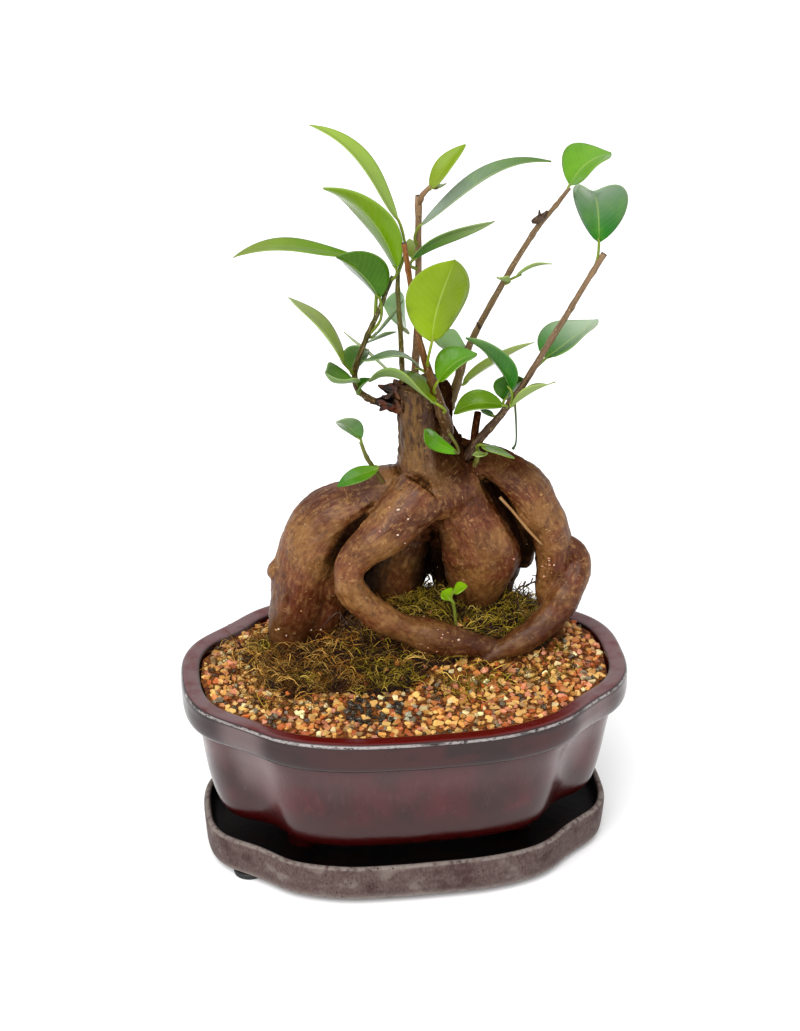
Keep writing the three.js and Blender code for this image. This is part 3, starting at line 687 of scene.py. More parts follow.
# %% Roots and trunk, melted into one skin
ROOTS = {
    "trunk": [[9, 13, 178, 9.6], [9, 13, 168, 9.8], [10, 13, 157, 10.2], [12, 12, 148, 13],
              [15, 12, 140, 16], [17, 13, 132, 14]],
    "far_left": [[5, 14, 137, 9], [-5, 15, 134, 10.5], [-15, 15, 128, 12], [-25, 15, 123, 13],
                 [-32, 15, 113, 12.5], [-36, 15, 101, 11], [-38, 16, 89, 10], [-40, 18, 78, 8],
                 [-41, 19, 67, 6.5], [-41, 20, 55, 5]],
    "left_inner": [[-22, 16, 122, 11], [-26, 17, 106, 10.5], [-27, 18, 92, 9.3], [-28, 19, 73, 6.5]],
    "front_loop": [[7, 4, 139, 10], [0, 0, 133, 9.5], [-10, -5, 126, 8], [-20, -6, 117, 6],
                   [-21, -7, 109, 5.4], [-16, -7, 101, 5.4], [-8, -7, 94, 5.5], [2, -6, 88, 5.6],
                   [12, -6, 84, 6.4], [22, -5, 81, 5], [30, -4, 78, 4], [37, -4, 75, 3.2]],
    "bulb": [[18, 12, 140, 12], [24, 12, 130, 12.6], [28.5, 12, 120, 14.3], [31, 14, 110, 15.4],
             [30, 16, 99, 12.5], [30, 19, 88, 8.5], [31, 22, 79, 6.5], [32, 24, 68, 5]],
    "right_arch": [[22, 11, 149, 7], [29.5, 9, 148.5, 6.2], [37, 7, 145, 6.8], [44, 5, 139.5, 7.9],
                   [50, 4, 129.5, 8], [54.5, 4.5, 119, 7.1], [56, 5.5, 107.5, 6.2],
                   [55.5, 7, 95.5, 5.6], [58, 10, 71, 4.2]],
    "right_loop": [[57, 5, 116, 3.5], [63, 4, 113, 3.8], [66, 4, 107, 4.2], [64, 2, 101, 5.2],
                   [60, 1, 94, 6], [54, -1, 87, 5.6], [47, -3, 82, 5.2], [40, -5, 79, 4.6],
                   [34, -6, 77, 3.4], [28, -7, 73, 2.6]],
    "rear_left": [[13, 22, 130, 11], [7, 29, 116, 12.5], [1, 32, 100, 13.5], [0, 33, 86, 11.5],
                  [1, 33, 70, 7]],
    "rear_middle": [[18, 20, 134, 14], [20, 27, 120, 13], [20, 30, 108, 10], [20.5, 31, 97, 7.8],
                    [22, 31, 86, 6], [22, 31, 74, 5]],
    "rear_right": [[27, 20, 131, 9], [38, 26, 115, 9], [42, 27, 100, 7.5], [40, 28, 86, 5.5],
                   [39, 27, 73, 5], [39, 26, 62, 4.5]],
    "rear_outer": [[30, 22, 128, 12], [40, 22, 118, 9.5], [46, 22, 108, 7], [49, 22, 97, 3.5]],
}
BROKEN_BRANCH = [
    [[5, 13, 170.6, 5], [-1, 13, 170.8, 3.6], [-5.5, 12.5, 171.2, 2.2], [-8.5, 12, 171.7, 1.1],
     [-10.6, 12, 171.4, 0.3]],
    [[4, 13, 174.5, 4.4], [-0.4, 13, 175.4, 3.2], [-3.3, 13, 176, 1.8], [-5.4, 13, 176.6, 1.1],
     [-7.6, 13, 177.7, 0.3]],
    [[1, 13, 175.5, 2.6], [-1, 13, 178.2, 1.4], [-1.9, 13, 179.6, 0.3]],
    [[-3, 12, 171, 1.8], [-6, 11.5, 169.5, 1], [-7.3, 11.5, 168.5, 0.3]],
    [[-2, 12, 175, 1.5], [-4.6, 11.5, 173.6, 0.9], [-6.4, 11, 174.4, 0.3]],
]
CUT_STUB = [[26, 5, 151, 1.8], [26, 4, 161, 1.4], [27, 4, 169, 1.3]]
SIDE_KNOB = [[-42, 16, 106, 5.5], [-46, 16, 106, 4], [-48, 16, 107, 1.6]]
ROOT_SIDES, ROOT_STEPS = 28, 6
VOXEL = 0.9
SMOOTHING_PASSES = 4


def root_swell(phase):
    def swell(angle, share, run):
        lump = math.sin(3 * angle + 7 * share + phase) + math.sin(2 * angle - 11 * share)
        return 1 + 0.02 * lump
    return swell


root_lines = {}
wood = bmesh.new()
for number, (name, stations) in enumerate(ROOTS.items()):
    root_lines[name] = smooth_line(stations, ROOT_STEPS)
    pour(wood, tube(stations, ROOT_SIDES, ROOT_STEPS, root_swell(number), capped=False))
pour(wood, tube(SIDE_KNOB, 14, 5, capped=False))

melting = tool_object("melting_roots", wood)
remesh = melting.modifiers.new("skin", "REMESH")
remesh.mode = "VOXEL"
remesh.voxel_size = VOXEL
remesh.use_smooth_shade = True
wood = applied(melting)
for _ in range(SMOOTHING_PASSES):
    bmesh.ops.smooth_vert(wood, verts=wood.verts, factor=0.5, use_axis_x=True, use_axis_y=True,
                          use_axis_z=True)
print("skin of the roots:", len(wood.verts), "points")

# %% [markdown]
# The melted skin no longer knows the roots that it came from, and the bark has to follow their
# bends. So points along the middle of every root are gathered, and each point of the skin takes the
# one whose surface is closest and keeps where along and round that root it lies.

# %% Where each point of the skin lies on its root


def root_samples():
    """Points inside the roots, each with its frame, its run and its root's number and name."""
    found = []
    for number, (name, line) in enumerate(root_lines.items()):
        frames, run = carried_frames(line), lengths_along(line)
        for point, directions, length in zip(line, frames, run):
            found.append((point, directions, length, number, name))
    return found


samples = root_samples()
nearest = KDTree(len(samples))
for i, sample in enumerate(samples):
    nearest.insert(sample[0].xyz, i)
nearest.balance()


def place_on_root(point):
    """The sample whose surface is closest to the point."""
    close = nearest.find_n(point, 16)
    best = min(close, key=lambda hit: hit[2] - samples[hit[1]][0].w)
    return samples[best[1]]


def bark_height(grain, number, trunk):
    """How far the bark stands out or lies in, in millimetres."""
    shift = Vector((0, 0, 40 * number))
    broad = noise.noise(grain * 0.09 + shift) * 0.9
    lumps = noise.noise(grain * 0.22 + shift) * 0.32
    fibres = Vector((grain.x * 0.75, grain.y * 0.75, grain.z * 0.09)) + shift
    ridges = noise.turbulence(fibres, 3, False) * (0.3 + 0.75 * trunk)
    rings = Vector((grain.x * 0.12, grain.y * 0.12, grain.z * 0.9)) + shift
    wrinkles = noise.noise(rings) * 0.16 * (1 - trunk)
    return broad + lumps + wrinkles - ridges


TRUNK_STARTS, TRUNK_FADES_IN = 142, 14
grain_layer = wood.verts.layers.float_vector.new("grain")
trunk_layer = wood.verts.layers.float.new("trunk")
wood.normal_update()
moves = []
for v in wood.verts:
    centre, (way, cross, across), run, number, name = place_on_root(v.co)
    out = v.co - centre.xyz
    grain = Vector((out.dot(cross), out.dot(across), run + out.dot(way)))
    trunk = min(max((v.co.z - TRUNK_STARTS) / TRUNK_FADES_IN, 0), 1) if name == "trunk" else 0.0
    v[grain_layer] = grain + Vector((0, 0, 60 * number))
    v[trunk_layer] = trunk
    moves.append(v.normal * bark_height(grain, number, trunk))
for v, move in zip(wood.verts, moves):
    v.co += move

# %% [markdown]
# A branch broke off at the left of the trunk's top and left long torn slivers, and a thin stub was
# cut off at its right. The smoothing above would wear them away, so they join the wood after it: the
# slivers as rough tubes that run out to a point, the stub as a plain one.

# %% Torn slivers and a cut stub


def splinter(angle, share, run):
    """Rough torn wood, in long slivers."""
    return 1 + 0.6 * noise.noise(Vector((3.4 * math.cos(angle), 3.4 * math.sin(angle), run * 0.32)))


for stations in BROKEN_BRANCH:
    pour(wood, tube(stations, 18, 8, splinter, capped=False))
pour(wood, tube(CUT_STUB, 14, 6, capped=False))

# %% [markdown]
# Deep between the roots no open sky reaches the bark, so it is painted nearly black there as painted
# shade, and it has no shine. A shader can't ask for that in a way that can be exported, so each point
# of the wood keeps how much wood stands close round it: short rays go out over it, and the near hits are
# counted.

# %% How sheltered each point of the wood is
SHELTER_REACH = 22
SHELTER_RAYS = 14
CLEAR_OF_THE_SKIN = 0.4


def rays_over_half_ball(count):
    """Directions all over a half ball round the Z axis, most of them near the middle."""
    rays = []
    for i in range(count):
        lift = math.sqrt((i + 0.5) / count)
        turn = i * math.pi * (3 - math.sqrt(5))
        flat = math.sqrt(1 - lift * lift)
        rays.append(Vector((flat * math.cos(turn), flat * math.sin(turn), lift)))
    return rays


shelter_layer = wood.verts.layers.float.new("occlusion_shade")
wood.normal_update()
wood_tree = BVHTree.FromBMesh(wood)
rays = rays_over_half_ball(SHELTER_RAYS)
for v in wood.verts:
    lean = Vector((0, 0, 1)).rotation_difference(v.normal)
    start = v.co + v.normal * CLEAR_OF_THE_SKIN
    met = [wood_tree.ray_cast(start, lean @ ray, SHELTER_REACH)[3] for ray in rays]
    v[shelter_layer] = sum(1 - far / SHELTER_REACH for far in met if far is not None) / len(rays)
print("mean shelter:", round(sum(v[shelter_layer] for v in wood.verts) / len(wood.verts), 3))

# %% [markdown]
# Bark of this fig is smooth and red brown on the roots and grey brown with upright cracks on the
# trunk. It is covered with hair fine fibres along the root, pale breathing pores across it and
# specks of dirt. What grew with the root is drawn in the root's own directions, and what lies on it,
# such as patches, dirt, painted shade and a painted highlight up the trunk, by its place.

# %% Bark


def bark_finish():
    f = Finish("bark", 0.4, 0.2)
    grain = f.kept("grain")
    trunk = f.kept("trunk", "Fac")
    here = f.place()
    x, y, height = f.parts(here)
    blush = f.between(f.cloud(f.place((0.9, 1.1, 1.3)), 13, 6, 0.3), 0.46, 0.6)
    mottle = f.cloud(f.stretched(grain, (1, 1, 0.6)), 1.5, 8, 0.2)
    fibres = f.cloud(f.stretched(grain, (1, 1, 0.09)), 0.4, 6, 0.8)
    pull = f.plus(0.2, f.times(trunk, 0.35))
    grey = f.blend(f.between(f.cloud(f.stretched(grain, (1, 1, 0.3)), 2.5, 5), 0.38, 0.62),
                   (44, 31, 20), (86, 64, 40))
    cracks = f.between(f.cloud(f.stretched(grain, (1, 1, 0.22)), 0.9, 6, 0.6), 0.44, 0.34)
    across = f.cloud(f.stretched(grain, (0.16, 0.16, 1)), 1.5, 2)
    lines = f.between(f.size_of(f.maths("SUBTRACT", across, 0.5)), 0.018, 0.004)
    broken = f.between(f.cloud(here, 4, 3), 0.54, 0.62)
    brown = f.blend(f.between(f.cloud(here, 18, 7, 0.3), 0.38, 0.62), (86, 49, 31), (133, 92, 55))
    brown = f.coats(brown, [
        (blush, 0.55, (116, 64, 46)),  # redder patches
        (f.between(mottle, 0.5, 0.7), 0.45, (168, 126, 82)),  # mottling, pale and dark
        (f.between(mottle, 0.5, 0.32), 0.45, (66, 38, 22)),
        (f.between(fibres, 0.5, 0.72), pull, (172, 130, 84)),  # fibres, pale and dark
        (f.between(fibres, 0.46, 0.3), pull, (54, 32, 20)),
        (trunk, 0.75, grey),  # the grey brown trunk
        (f.times(cracks, trunk), 0.55, (36, 22, 14)),  # its cracks
        (f.times(lines, broken), 0.6, (186, 142, 92)),  # broken lines across the root
    ])
    for stretch, size in (((0.5, 0.5, 1.8), 2.6), ((1.6, 1.6, 0.4), 2.2)):
        pores = f.between(f.specks(f.stretched(grain, stretch), size), 0.17, 0.06)
        some = f.between(f.cloud(f.place(stretch), 6), 0.54, 0.62)
        brown = f.coats(brown, [(f.times(pores, some), 0.8, (196, 154, 102))])
    # painted highlight: pale streaks up the middle of the trunk, where it faces the light
    highlight_band = f.times(f.between(x, -1, 4), f.between(x, 9, 6))
    highlight_band = f.times(highlight_band, f.between(f.cloud(f.stretched(grain, (1, 1, 0.3)), 2, 4), 0.42, 0.58))
    # painted shade: the right side of the trunk is painted dark
    shaded_side = f.times(f.between(x, 8, 13), f.between(height, 136, 152))
    torn = f.times(f.between(x, 1, -3), f.between(height, 162, 165))
    rust = f.blend(f.between(f.cloud(here, 3, 4), 0.45, 0.6), (34, 22, 16), (88, 46, 26))
    closeness = f.kept("occlusion_shade", "Fac")
    # painted shade: the rear roots are painted dark where wood stands close round them
    painted_shade_behind = f.times(f.between(y, 10, 26), f.between(closeness, 0.01, 0.1))
    # painted shade: the more wood stands close round a point, the darker it is painted
    occlusion_shade = f.between(closeness, 0.1, 0.4)
    f.colour(f.coats(brown, [
        (f.between(f.cloud(here, 1.4, 7), 0.56, 0.68), 0.4, (56, 34, 22)),  # dirt
        (f.times(highlight_band, trunk), 0.5, (146, 108, 58)),  # painted highlight in streaks up the middle of the trunk
        (shaded_side, 0.7, (42, 28, 18)),  # painted shade on the trunk's right side, towards the cut stub
        (torn, 0.92, rust),  # the torn wood
        (painted_shade_behind, 0.9, (28, 17, 11)),  # painted shade in the hollows among the rear roots
        (f.between(f.wavy(height, 7, 3, 14), 108, 90), 0.5, (66, 42, 26)),  # darker near the ground
        (occlusion_shade, 0.9, (26, 16, 10)),  # painted shade deep between the roots
        (f.speckles(here, 3.1, 0.08), 1, (206, 178, 146)),  # pale specks
    ]))
    f.rough(f.plus(0.3, f.times(mottle, 0.25)))
    open_skin = f.times(f.between(occlusion_shade, 0.5, 0.0), f.between(shaded_side, 1, 0.2))
    f.gloss(f.times(open_skin, 0.24))
    skin = f.plus(f.times(fibres, 0.6), mottle)
    f.relief(f.maths("SUBTRACT", skin, f.times(cracks, trunk)), 0.2)
    return f


show("roots_and_trunk", wood, [bark_finish()], ["trunk_and_roots"])

# %% [markdown]
# A leaf of this fig is a smooth leathery blade with a pale midrib, faint side veins and a short
# drawn out tip. A flat card would look cut from paper. The blade starts as a grid and is bent by
# the same rule as in the solids: an arch along its length, a fold along its midrib and a turn about
# its own line. Each point keeps its place on the blade, so that the veins follow it.

# %% Blades
BLADE_THICKNESS = 0.4
BLADE_COLUMNS, BLADE_ROWS = 10, 24
NARROWEST = 0.16


def half_width(width, share, widest, tail):
    """The blade is widest at a share of its length. The tail is its drawn out tip."""
    body = share / (1 - tail)
    form = math.sin(math.pi * body ** (math.log(0.5) / math.log(widest))) if 0 < body < 1 else 0
    return max(NARROWEST, width / 2 * form ** 0.75)


def blade(leaf, foot_tint, tip_tint):
    base, tip, width, roll, arch, fold, (widest, tail, late) = leaf
    start = Vector(base)
    along = Vector(tip) - start
    length = along.length
    along.normalize()
    sky = (Vector((0, 0, 1)) - along * along.z).normalized()
    upper = Matrix.Rotation(math.radians(roll), 3, along) @ sky
    bm = bmesh.new()
    bmesh.ops.create_grid(bm, x_segments=BLADE_COLUMNS, y_segments=BLADE_ROWS, size=1)
    spot = bm.verts.layers.float_vector.new("spot")
    colour = bm.verts.layers.float_color.new("tint")
    softness = width * 0.07
    for v in bm.verts:
        u, share = v.co.x, (v.co.y + 1) / 2
        bow = 4 * arch * (1 + late * (2 * share - 1))
        slope = math.atan(bow * (1 - 2 * share) + 8 * arch * late * share * (1 - share))
        ahead = along * math.cos(slope) + upper * math.sin(slope)
        up = upper * math.cos(slope) - along * math.sin(slope)
        out = u * half_width(width, share, widest, tail)
        wave = 0.02 * width * math.sin(9 * share + 3 * u) * u * u
        lift = (math.hypot(out, softness) - softness) * math.tan(math.radians(fold)) + wave
        v[spot] = (u, share, 0)
        v[colour] = foot_tint.lerp(tip_tint, share * share * (3 - 2 * share))
        v.co = (start + along * (length * share) + upper * (bow * length * share * (1 - share))
                + ahead.cross(up) * out + up * lift)
    bmesh.ops.recalc_face_normals(bm, faces=bm.faces)
    if sum((face.normal for face in bm.faces), Vector()).dot(upper) < 0:
        bmesh.ops.reverse_faces(bm, faces=bm.faces)
    tops = set(bm.verts)
    bmesh.ops.solidify(bm, geom=bm.faces[:], thickness=BLADE_THICKNESS)
    for v in bm.verts:
        if v not in tops:
            v[spot] = (v[spot][0], v[spot][1], 1)
    bmesh.ops.recalc_face_normals(bm, faces=bm.faces)
    return in_finish(bm, LEAF)


# %% [markdown]
# Leaves differ: young ones are yellow green and thin, old ones dark and leathery, and all are paler
# and duller underneath. The tint is kept on the mesh, and one finish adds what all of them share.

# %% Leaf, stalk, twig and cut wood
SIDE_VEINS, VEIN_SLANT = 13, 2.6


def leaf_finish():
    f = Finish("leaf", 0.32, 0.15)
    across, along, below = f.parts(f.kept("spot"))
    under = f.between(below, 0.4, 0.6)
    mottle = f.cloud(f.place(), 7, 3)
    beside = f.size_of(across)
    slanted = f.maths("SUBTRACT", f.times(along, SIDE_VEINS), f.times(beside, VEIN_SLANT))
    from_vein = f.size_of(f.maths("SUBTRACT", f.maths("FRACT", slanted), 0.5))
    veins = f.between(from_vein, 0.09, 0.0)
    midrib = f.between(beside, 0.055, 0.012)
    f.colour(f.coats(f.kept("tint", "Color"), [
        (f.between(mottle, 0.45, 0.75), 0.12, (150, 190, 70)),  # uneven green, pale and dark
        (f.between(mottle, 0.45, 0.2), 0.25, (24, 70, 22)),
        (veins, 0.07, (190, 215, 120)),
        (midrib, 0.3, (190, 212, 110)),
        (f.between(beside, 0.93, 0.99), 0.16, (196, 212, 130)),  # painted highlight along the edge
        (under, 0.35, (150, 180, 110)),  # the dull underside
    ]))
    f.rough(f.plus(0.2, f.times(under, 0.26)))
    f.relief(f.plus(midrib, f.times(veins, 0.25)), 0.1)
    return f


def stalk_finish():
    f = Finish("leaf_stalk", 0.45, 0.3)
    here = f.place()
    f.colour(f.coats(f.kept("tint", "Color"), [(f.cloud(here, 3, 3), 0.5, (150, 160, 60))]))
    f.relief(f.cloud(here, 0.6, 2), 0.04)
    return f


def twig_finish():
    f = Finish("twig", 0.5, 0.3)
    grain = f.kept("grain")
    fibres = f.cloud(f.stretched(grain, (1, 1, 0.1)), 0.4, 4)
    f.colour(f.coats(f.kept("tint", "Color"), [
        (f.between(fibres, 0.5, 0.72), 0.4, (176, 146, 104)),
        (f.between(fibres, 0.46, 0.28), 0.5, (40, 28, 16)),
        (f.speckles(f.stretched(grain, (1, 1, 0.6)), 0.9, 0.26), 1, (186, 160, 120)),
        (f.speckles(f.place((1.2, 1, 0.9)), 1.3, 0.26), 1, (46, 30, 20)),
    ]))
    f.relief(fibres, 0.06)
    return f


def cut_finish():
    f = Finish("dry_cut", 0.85)
    here = f.place()
    f.colour(f.blend(f.cloud(here, 0.5, 4), (40, 26, 20), (92, 68, 54)))
    f.relief(f.cloud(here, 0.4, 3), 0.15)
    return f


shoot_finishes = [twig_finish(), cut_finish(), leaf_finish(), stalk_finish()]

# %% [markdown]
# A shoot is a twig with leaves on thin stalks. The twig swells a little at each joint, where a leaf
# once stood. The stalk leaves it in a bend and runs on under the foot of the blade as the midrib.
# The rows give, for each leaf, where it leaves the twig, its foot, its tip, its width, how far it
# is rolled, arched and folded, which of a few forms it has, and its tint. Where it leaves the twig
# is a share of the way along, or a point where it grows beside the twig.

# %% The shoots
# The colour at the foot of the leaf and at its tip. The pale grey green ends of heart, misty, grey, dark,
# blade and silver, and the whole of shade, are painted reflection of the white room in the gloss
TINTS = {
    "lime": ((130, 156, 4), (126, 152, 6)),
    "yellow": ((88, 124, 8), (92, 124, 10)),
    "bud": ((130, 150, 50), (124, 152, 40)),
    "olive": ((118, 142, 24), (96, 124, 62)),
    "vivid": ((92, 150, 4), (82, 138, 8)),
    "low": ((84, 128, 24), (66, 116, 44)),
    "lush": ((96, 146, 14), (92, 142, 56)),
    "bright": ((98, 150, 44), (108, 156, 60)),
    "deep": ((64, 104, 4), (70, 106, 8)),
    "dark": ((46, 104, 20), (92, 130, 78)),
    "night": ((48, 92, 12), (52, 96, 20)),
    "heart": ((42, 112, 28), (144, 166, 138)),
    "sea": ((84, 124, 50), (108, 138, 84)),
    "grey": ((84, 130, 62), (136, 160, 122)),
    "misty": ((58, 112, 44), (172, 190, 164)),
    "spring": ((140, 166, 84), (150, 176, 74)),
    "fresh": ((106, 144, 14), (122, 152, 50)),
    "green": ((100, 140, 34), (122, 140, 66)),
    "blade": ((70, 118, 20), (140, 160, 106)),
    "straw": ((132, 154, 60), (156, 172, 104)),
    "silver": ((142, 156, 140), (92, 124, 66)),
    "shade": ((134, 174, 126), (140, 178, 120)),
    "sprout": ((124, 168, 30), (130, 174, 36)),
}
# The forms of the leaves: widest at this share of the length, share of the drawn out tip, and how far
# the bow lies towards the tip
EGG, OVAL, ROUND = (0.35, 0, 0), (0.45, 0, 0), (0.55, 0.05, 0)
POINTED, HOOKED, HUMPED = (0.5, 0.15, 0), (0.45, 0, 0.7), (0.45, 0, -0.7)
# The tints of a shoot are those of its bark at the foot and at the end, and of its leaf stalks
SHOOTS = {
    "far_left_shoot": {
        "tints": ((84, 62, 34), (66, 76, 28), (96, 118, 36)),
        "stem": [[-9, 12, 172, 1.3], [-12, 12, 174, 1.2], [-15, 12, 177, 1.1], [-16, 12, 183, 1.05],
                 [-14, 10, 192, 1], [-11, 8, 201, 0.95], [-8, 6, 209, 0.85], [-5, 6, 217, 0.8],
                 [-3, 7, 221, 0.7]],
        "leaves": [
            (0.55, [-8, 4, 214], [-23, 4, 230], 16, -130, -0.1, -35, OVAL, "deep"),
            (0.7, [-17, 9, 229], [-58, 9, 230], 8, -15, 0.1, 10, HOOKED, "green"),
            (0.25, [-20, 10, 188], [-39, 10, 214], 13, -10, 0.05, 20, EGG, "straw"),
            (0.97, [-2, 5, 224], [-27, 6, 254], 17, -140, -0.15, -15, OVAL, "fresh"),
            (0.5, [-12, 9, 196], [-1, 13, 198], 6, -30, 0, 20, OVAL, "silver"),
            (0.55, [-10, 9, 198], [1, 12, 210], 6, -40, -0.05, 10, POINTED, "silver"),
            (0.15, [-16, 10, 181], [-27, 3, 188], 15, -5, -0.15, 35, HOOKED, "sea"),
            (0.15, [-15, 10, 176], [-11, 10, 182], 6, 0, 0.1, 30, HUMPED, "night"),
            (0.25, [-17, 15, 183], [-11, 14, 191], 10, 115, -0.25, -20, OVAL, "sea"),
        ],
    },
    "left_upright_shoot": {
        "tints": ((104, 80, 44), (88, 94, 36), (120, 140, 50)),
        "stem": [[2, 13, 170, 1], [1, 12, 183, 0.95], [0, 10, 200, 0.9], [-1, 9, 214, 0.85],
                 [-1, 9, 222, 0.75]],
        "leaves": [
            (0.98, [-1, 8, 241], [-30, 18, 273], 9, -10, 0.1, 30, HOOKED, "spring"),
            (0.6, [4, 24, 194], [-5, 22, 205], 21, -25, 0.15, 10, ROUND, "shade"),
            (0.2, [-1, 19, 179], [-18, 25, 194], 5, 15, 0, 5, OVAL, "straw"),
        ],
    },
    "front_cut_shoot": {
        "tints": ((70, 54, 28), (132, 80, 36), (128, 148, 36)),
        "stem": [[14.5, 7, 156, 2.4], [16, 4, 163, 2.4], [13, 0, 173, 2.1], [10, -2, 183, 1.7],
                 [5, -3, 200, 1.15], [2, 0, 221, 1], [0, 1, 235, 0.95]],
        "leaves": [
            (0.45, [8, -11, 203], [15, -15, 234], 22, 125, -0.1, -25, HUMPED, "lime"),
            (0.3, [11, -6, 186], [25, -4, 195], 12, 15, 0.15, 30, OVAL, "lush"),
            (0.2, [10, -9, 179], [-12, 5, 183], 21, 25, 0.15, 20, HOOKED, "olive"),
            (0.35, [6, 1, 188], [-15, 0, 193], 9, 10, 0.15, 15, HUMPED, "silver"),
            ([16, 3, 163], [18, -8, 159], [5, -15, 172], 6, -80, -0.2, -25, HUMPED, "vivid"),
        ],
    },
    "tall_upright_shoot": {
        "tints": ((112, 80, 52), (152, 122, 92), (116, 132, 44)),
        "stem": [[6, 15, 170, 1.5], [6, 15, 180, 1.35], [7, 15, 208, 1.2], [7, 15, 247, 1.15]],
        "twigs": [[[7, 15, 243, 1.05], [8, 14, 247, 1], [11, 13, 251, 0.75]]],
        "leaves": [
            (0.75, [7, 12, 237], [53, 13, 258], 9, 5, 0.1, 30, HOOKED, "silver"),
            (0.65, [4, 10, 225], [33, 10, 238], 5, 110, -0.1, 15, HUMPED, "blade"),
            (0.7, [5, 17, 224], [5, 22, 229], 5, 10, 0.05, 15, OVAL, "straw"),
            ([10.5, 13, 250], [10.5, 12, 250], [23, 14, 265], 7, 25, 0.05, 25, OVAL, "bud"),
            ([11, 13, 250.5], [13, 13, 250], [17, 18, 250], 4, -15, 0.05, 10, OVAL, "straw"),
        ],
    },
    "right_tall_shoot": {
        "tints": ((98, 80, 44), (124, 100, 74), (120, 140, 56)),
        "stem": [[17, 14, 165, 2.2], [20, 14, 173, 1.8], [25, 15, 189, 1.3], [35, 14, 210, 1.1],
                 [44, 14, 226, 1], [50, 13, 236, 1.05], [53, 12, 240, 0.9], [56, 10, 245, 0.8],
                 [59, 10, 249, 0.7]],
        "leaves": [
            (0.99, [59, 10, 250], [74, 13, 260], 21, 5, 0.15, 20, OVAL, "bright"),
            (0.55, [42, 16, 215], [55, 17, 219], 6, -25, 0.1, 20, EGG, "straw"),
            (0.55, [39, 12, 215], [34, 9, 218], 5, 20, -0.05, 30, ROUND, "straw"),
            (0.25, [25, 17, 188], [13, 25, 190], 11, 75, -0.1, 35, POINTED, "shade"),
            (0.15, [24, 18, 174], [50, 20, 188], 6, 120, -0.05, -25, EGG, "straw"),
        ],
    },
    "right_low_shoot": {
        "tints": ((60, 42, 28), (134, 108, 80), (110, 136, 48)),
        "stem": [[23, 6, 150, 1.7], [27, 2, 159, 1.6], [31, 0, 165, 1.45], [35, -3, 172, 1.3],
                 [41, -5, 182, 1.15], [50, -7, 199, 1.1], [56, -8, 210, 1.05], [61, -8, 219, 1],
                 [68, -8, 231, 1.1]],
        "leaves": [
            (0.93, [66, -8, 235], [60, -18, 257], 19, -170, -0.25, -40, POINTED, "heart"),
            (0.45, [50, -2, 191], [70, 7, 201], 21, -5, 0, 25, EGG, "misty"),
            (0.3, [37, -6, 181], [22, 3, 198], 13, -125, -0.1, -25, EGG, "dark"),
            (0.3, [36, 2, 174], [43, -1, 183], 12, 130, -0.1, -30, EGG, "night"),
            (0.35, [37, -6, 175], [52, -9, 185], 9, -20, 0.05, 30, POINTED, "straw"),
            (0.3, [34, -7, 176], [17, -3, 172], 8, -35, 0.25, 35, OVAL, "yellow"),
            (0.25, [32, 0, 169], [28, 4, 170], 3, -5, 0.05, 10, OVAL, "night"),
        ],
    },
    "low_left_twig": {
        "tints": ((100, 80, 48), (104, 112, 50), (104, 128, 44)),
        "stem": [[-5, 9, 139, 1], [-11, 6, 150, 0.85], [-13, 5, 154, 0.75], [-15, 4, 160, 0.65]],
        "leaves": [
            (0.99, [-15, 4, 161], [-24, -2, 171], 8, -140, -0.1, -25, OVAL, "grey"),
            (0.5, [-9, 3, 150], [-24, 2, 144], 6, -40, 0.1, 15, HOOKED, "low"),
        ],
    },
    "low_right_leaves": {
        "tints": ((86, 70, 36), (110, 126, 46), (110, 126, 46)),
        "stem": [[26, 4, 148, 1], [27, 2, 153, 0.8], [27, 1, 155, 0.7]],
        "leaves": [
            (0.95, [27, -4, 160], [38, -10, 157], 7, -10, 0, 5, EGG, "yellow"),
            (0.8, [29, -3, 156], [24, -3, 156], 6, 5, -0.05, 10, ROUND, "straw"),
        ],
    },
    "seedling": {
        "tints": ((150, 140, 70), (112, 140, 44), (112, 140, 44)),
        "stem": [[20, 2, 78, 0.6], [19, 1, 90, 0.6], [18, -0.6, 96, 0.6]],
        "leaves": [
            (0.97, [17, -1, 97], [14, 1, 100], 8, -5, 0.05, 15, ROUND, "sprout"),
            (0.95, [18, -1, 100], [23, -2, 103], 6, 15, 0.1, 10, OVAL, "sprout"),
        ],
    },
}
STALK_RADIUS = 0.5
TWIG_SIDES, TWIG_STEPS = 14, 10
JOINT_SPACING = 14


def joint_swell(angle, share, run):
    """A low ring at every joint, and bark that isn't quite round."""
    from_joint = (run + 4) % JOINT_SPACING - JOINT_SPACING / 2
    bumps = noise.noise(Vector((math.cos(angle), math.sin(angle), run * 0.45)))
    return 1 + 0.2 * math.exp(-((from_joint / 0.9) ** 2)) + 0.14 * bumps


def point_at(line, share):
    """The point at a share of the line's length."""
    run = lengths_along(line)
    wanted = share * run[-1]
    i = next(i for i in range(1, len(run)) if run[i] >= wanted - 1e-6)
    part = (wanted - run[i - 1]) / (run[i] - run[i - 1])
    return line[i - 1].xyz.lerp(line[i].xyz, part)


def tinted(bm, tint_at):
    """Keeps a colour on every point, given by the share of the way along."""
    layer = bm.verts.layers.float_color.new("tint")
    grain = bm.verts.layers.float_vector["grain"]
    length = max(v[grain].z for v in bm.verts)
    for v in bm.verts:
        v[layer] = tint_at(v[grain].z / length)
    return bm


def stalk(start, base, tip, tint):
    foot = Vector(base)
    along = (Vector(tip) - foot).normalized()
    bend = foot - along * (0.3 * (foot - start).length)
    middle = start.lerp(bend, 0.6)
    end = foot + along * 2.2
    stations = [[*start, 0.75], [*middle, STALK_RADIUS], [*foot, STALK_RADIUS], [*end, 0.25]]
    return in_finish(tinted(tube(stations, 8, 4), lambda share: tint), STALK)


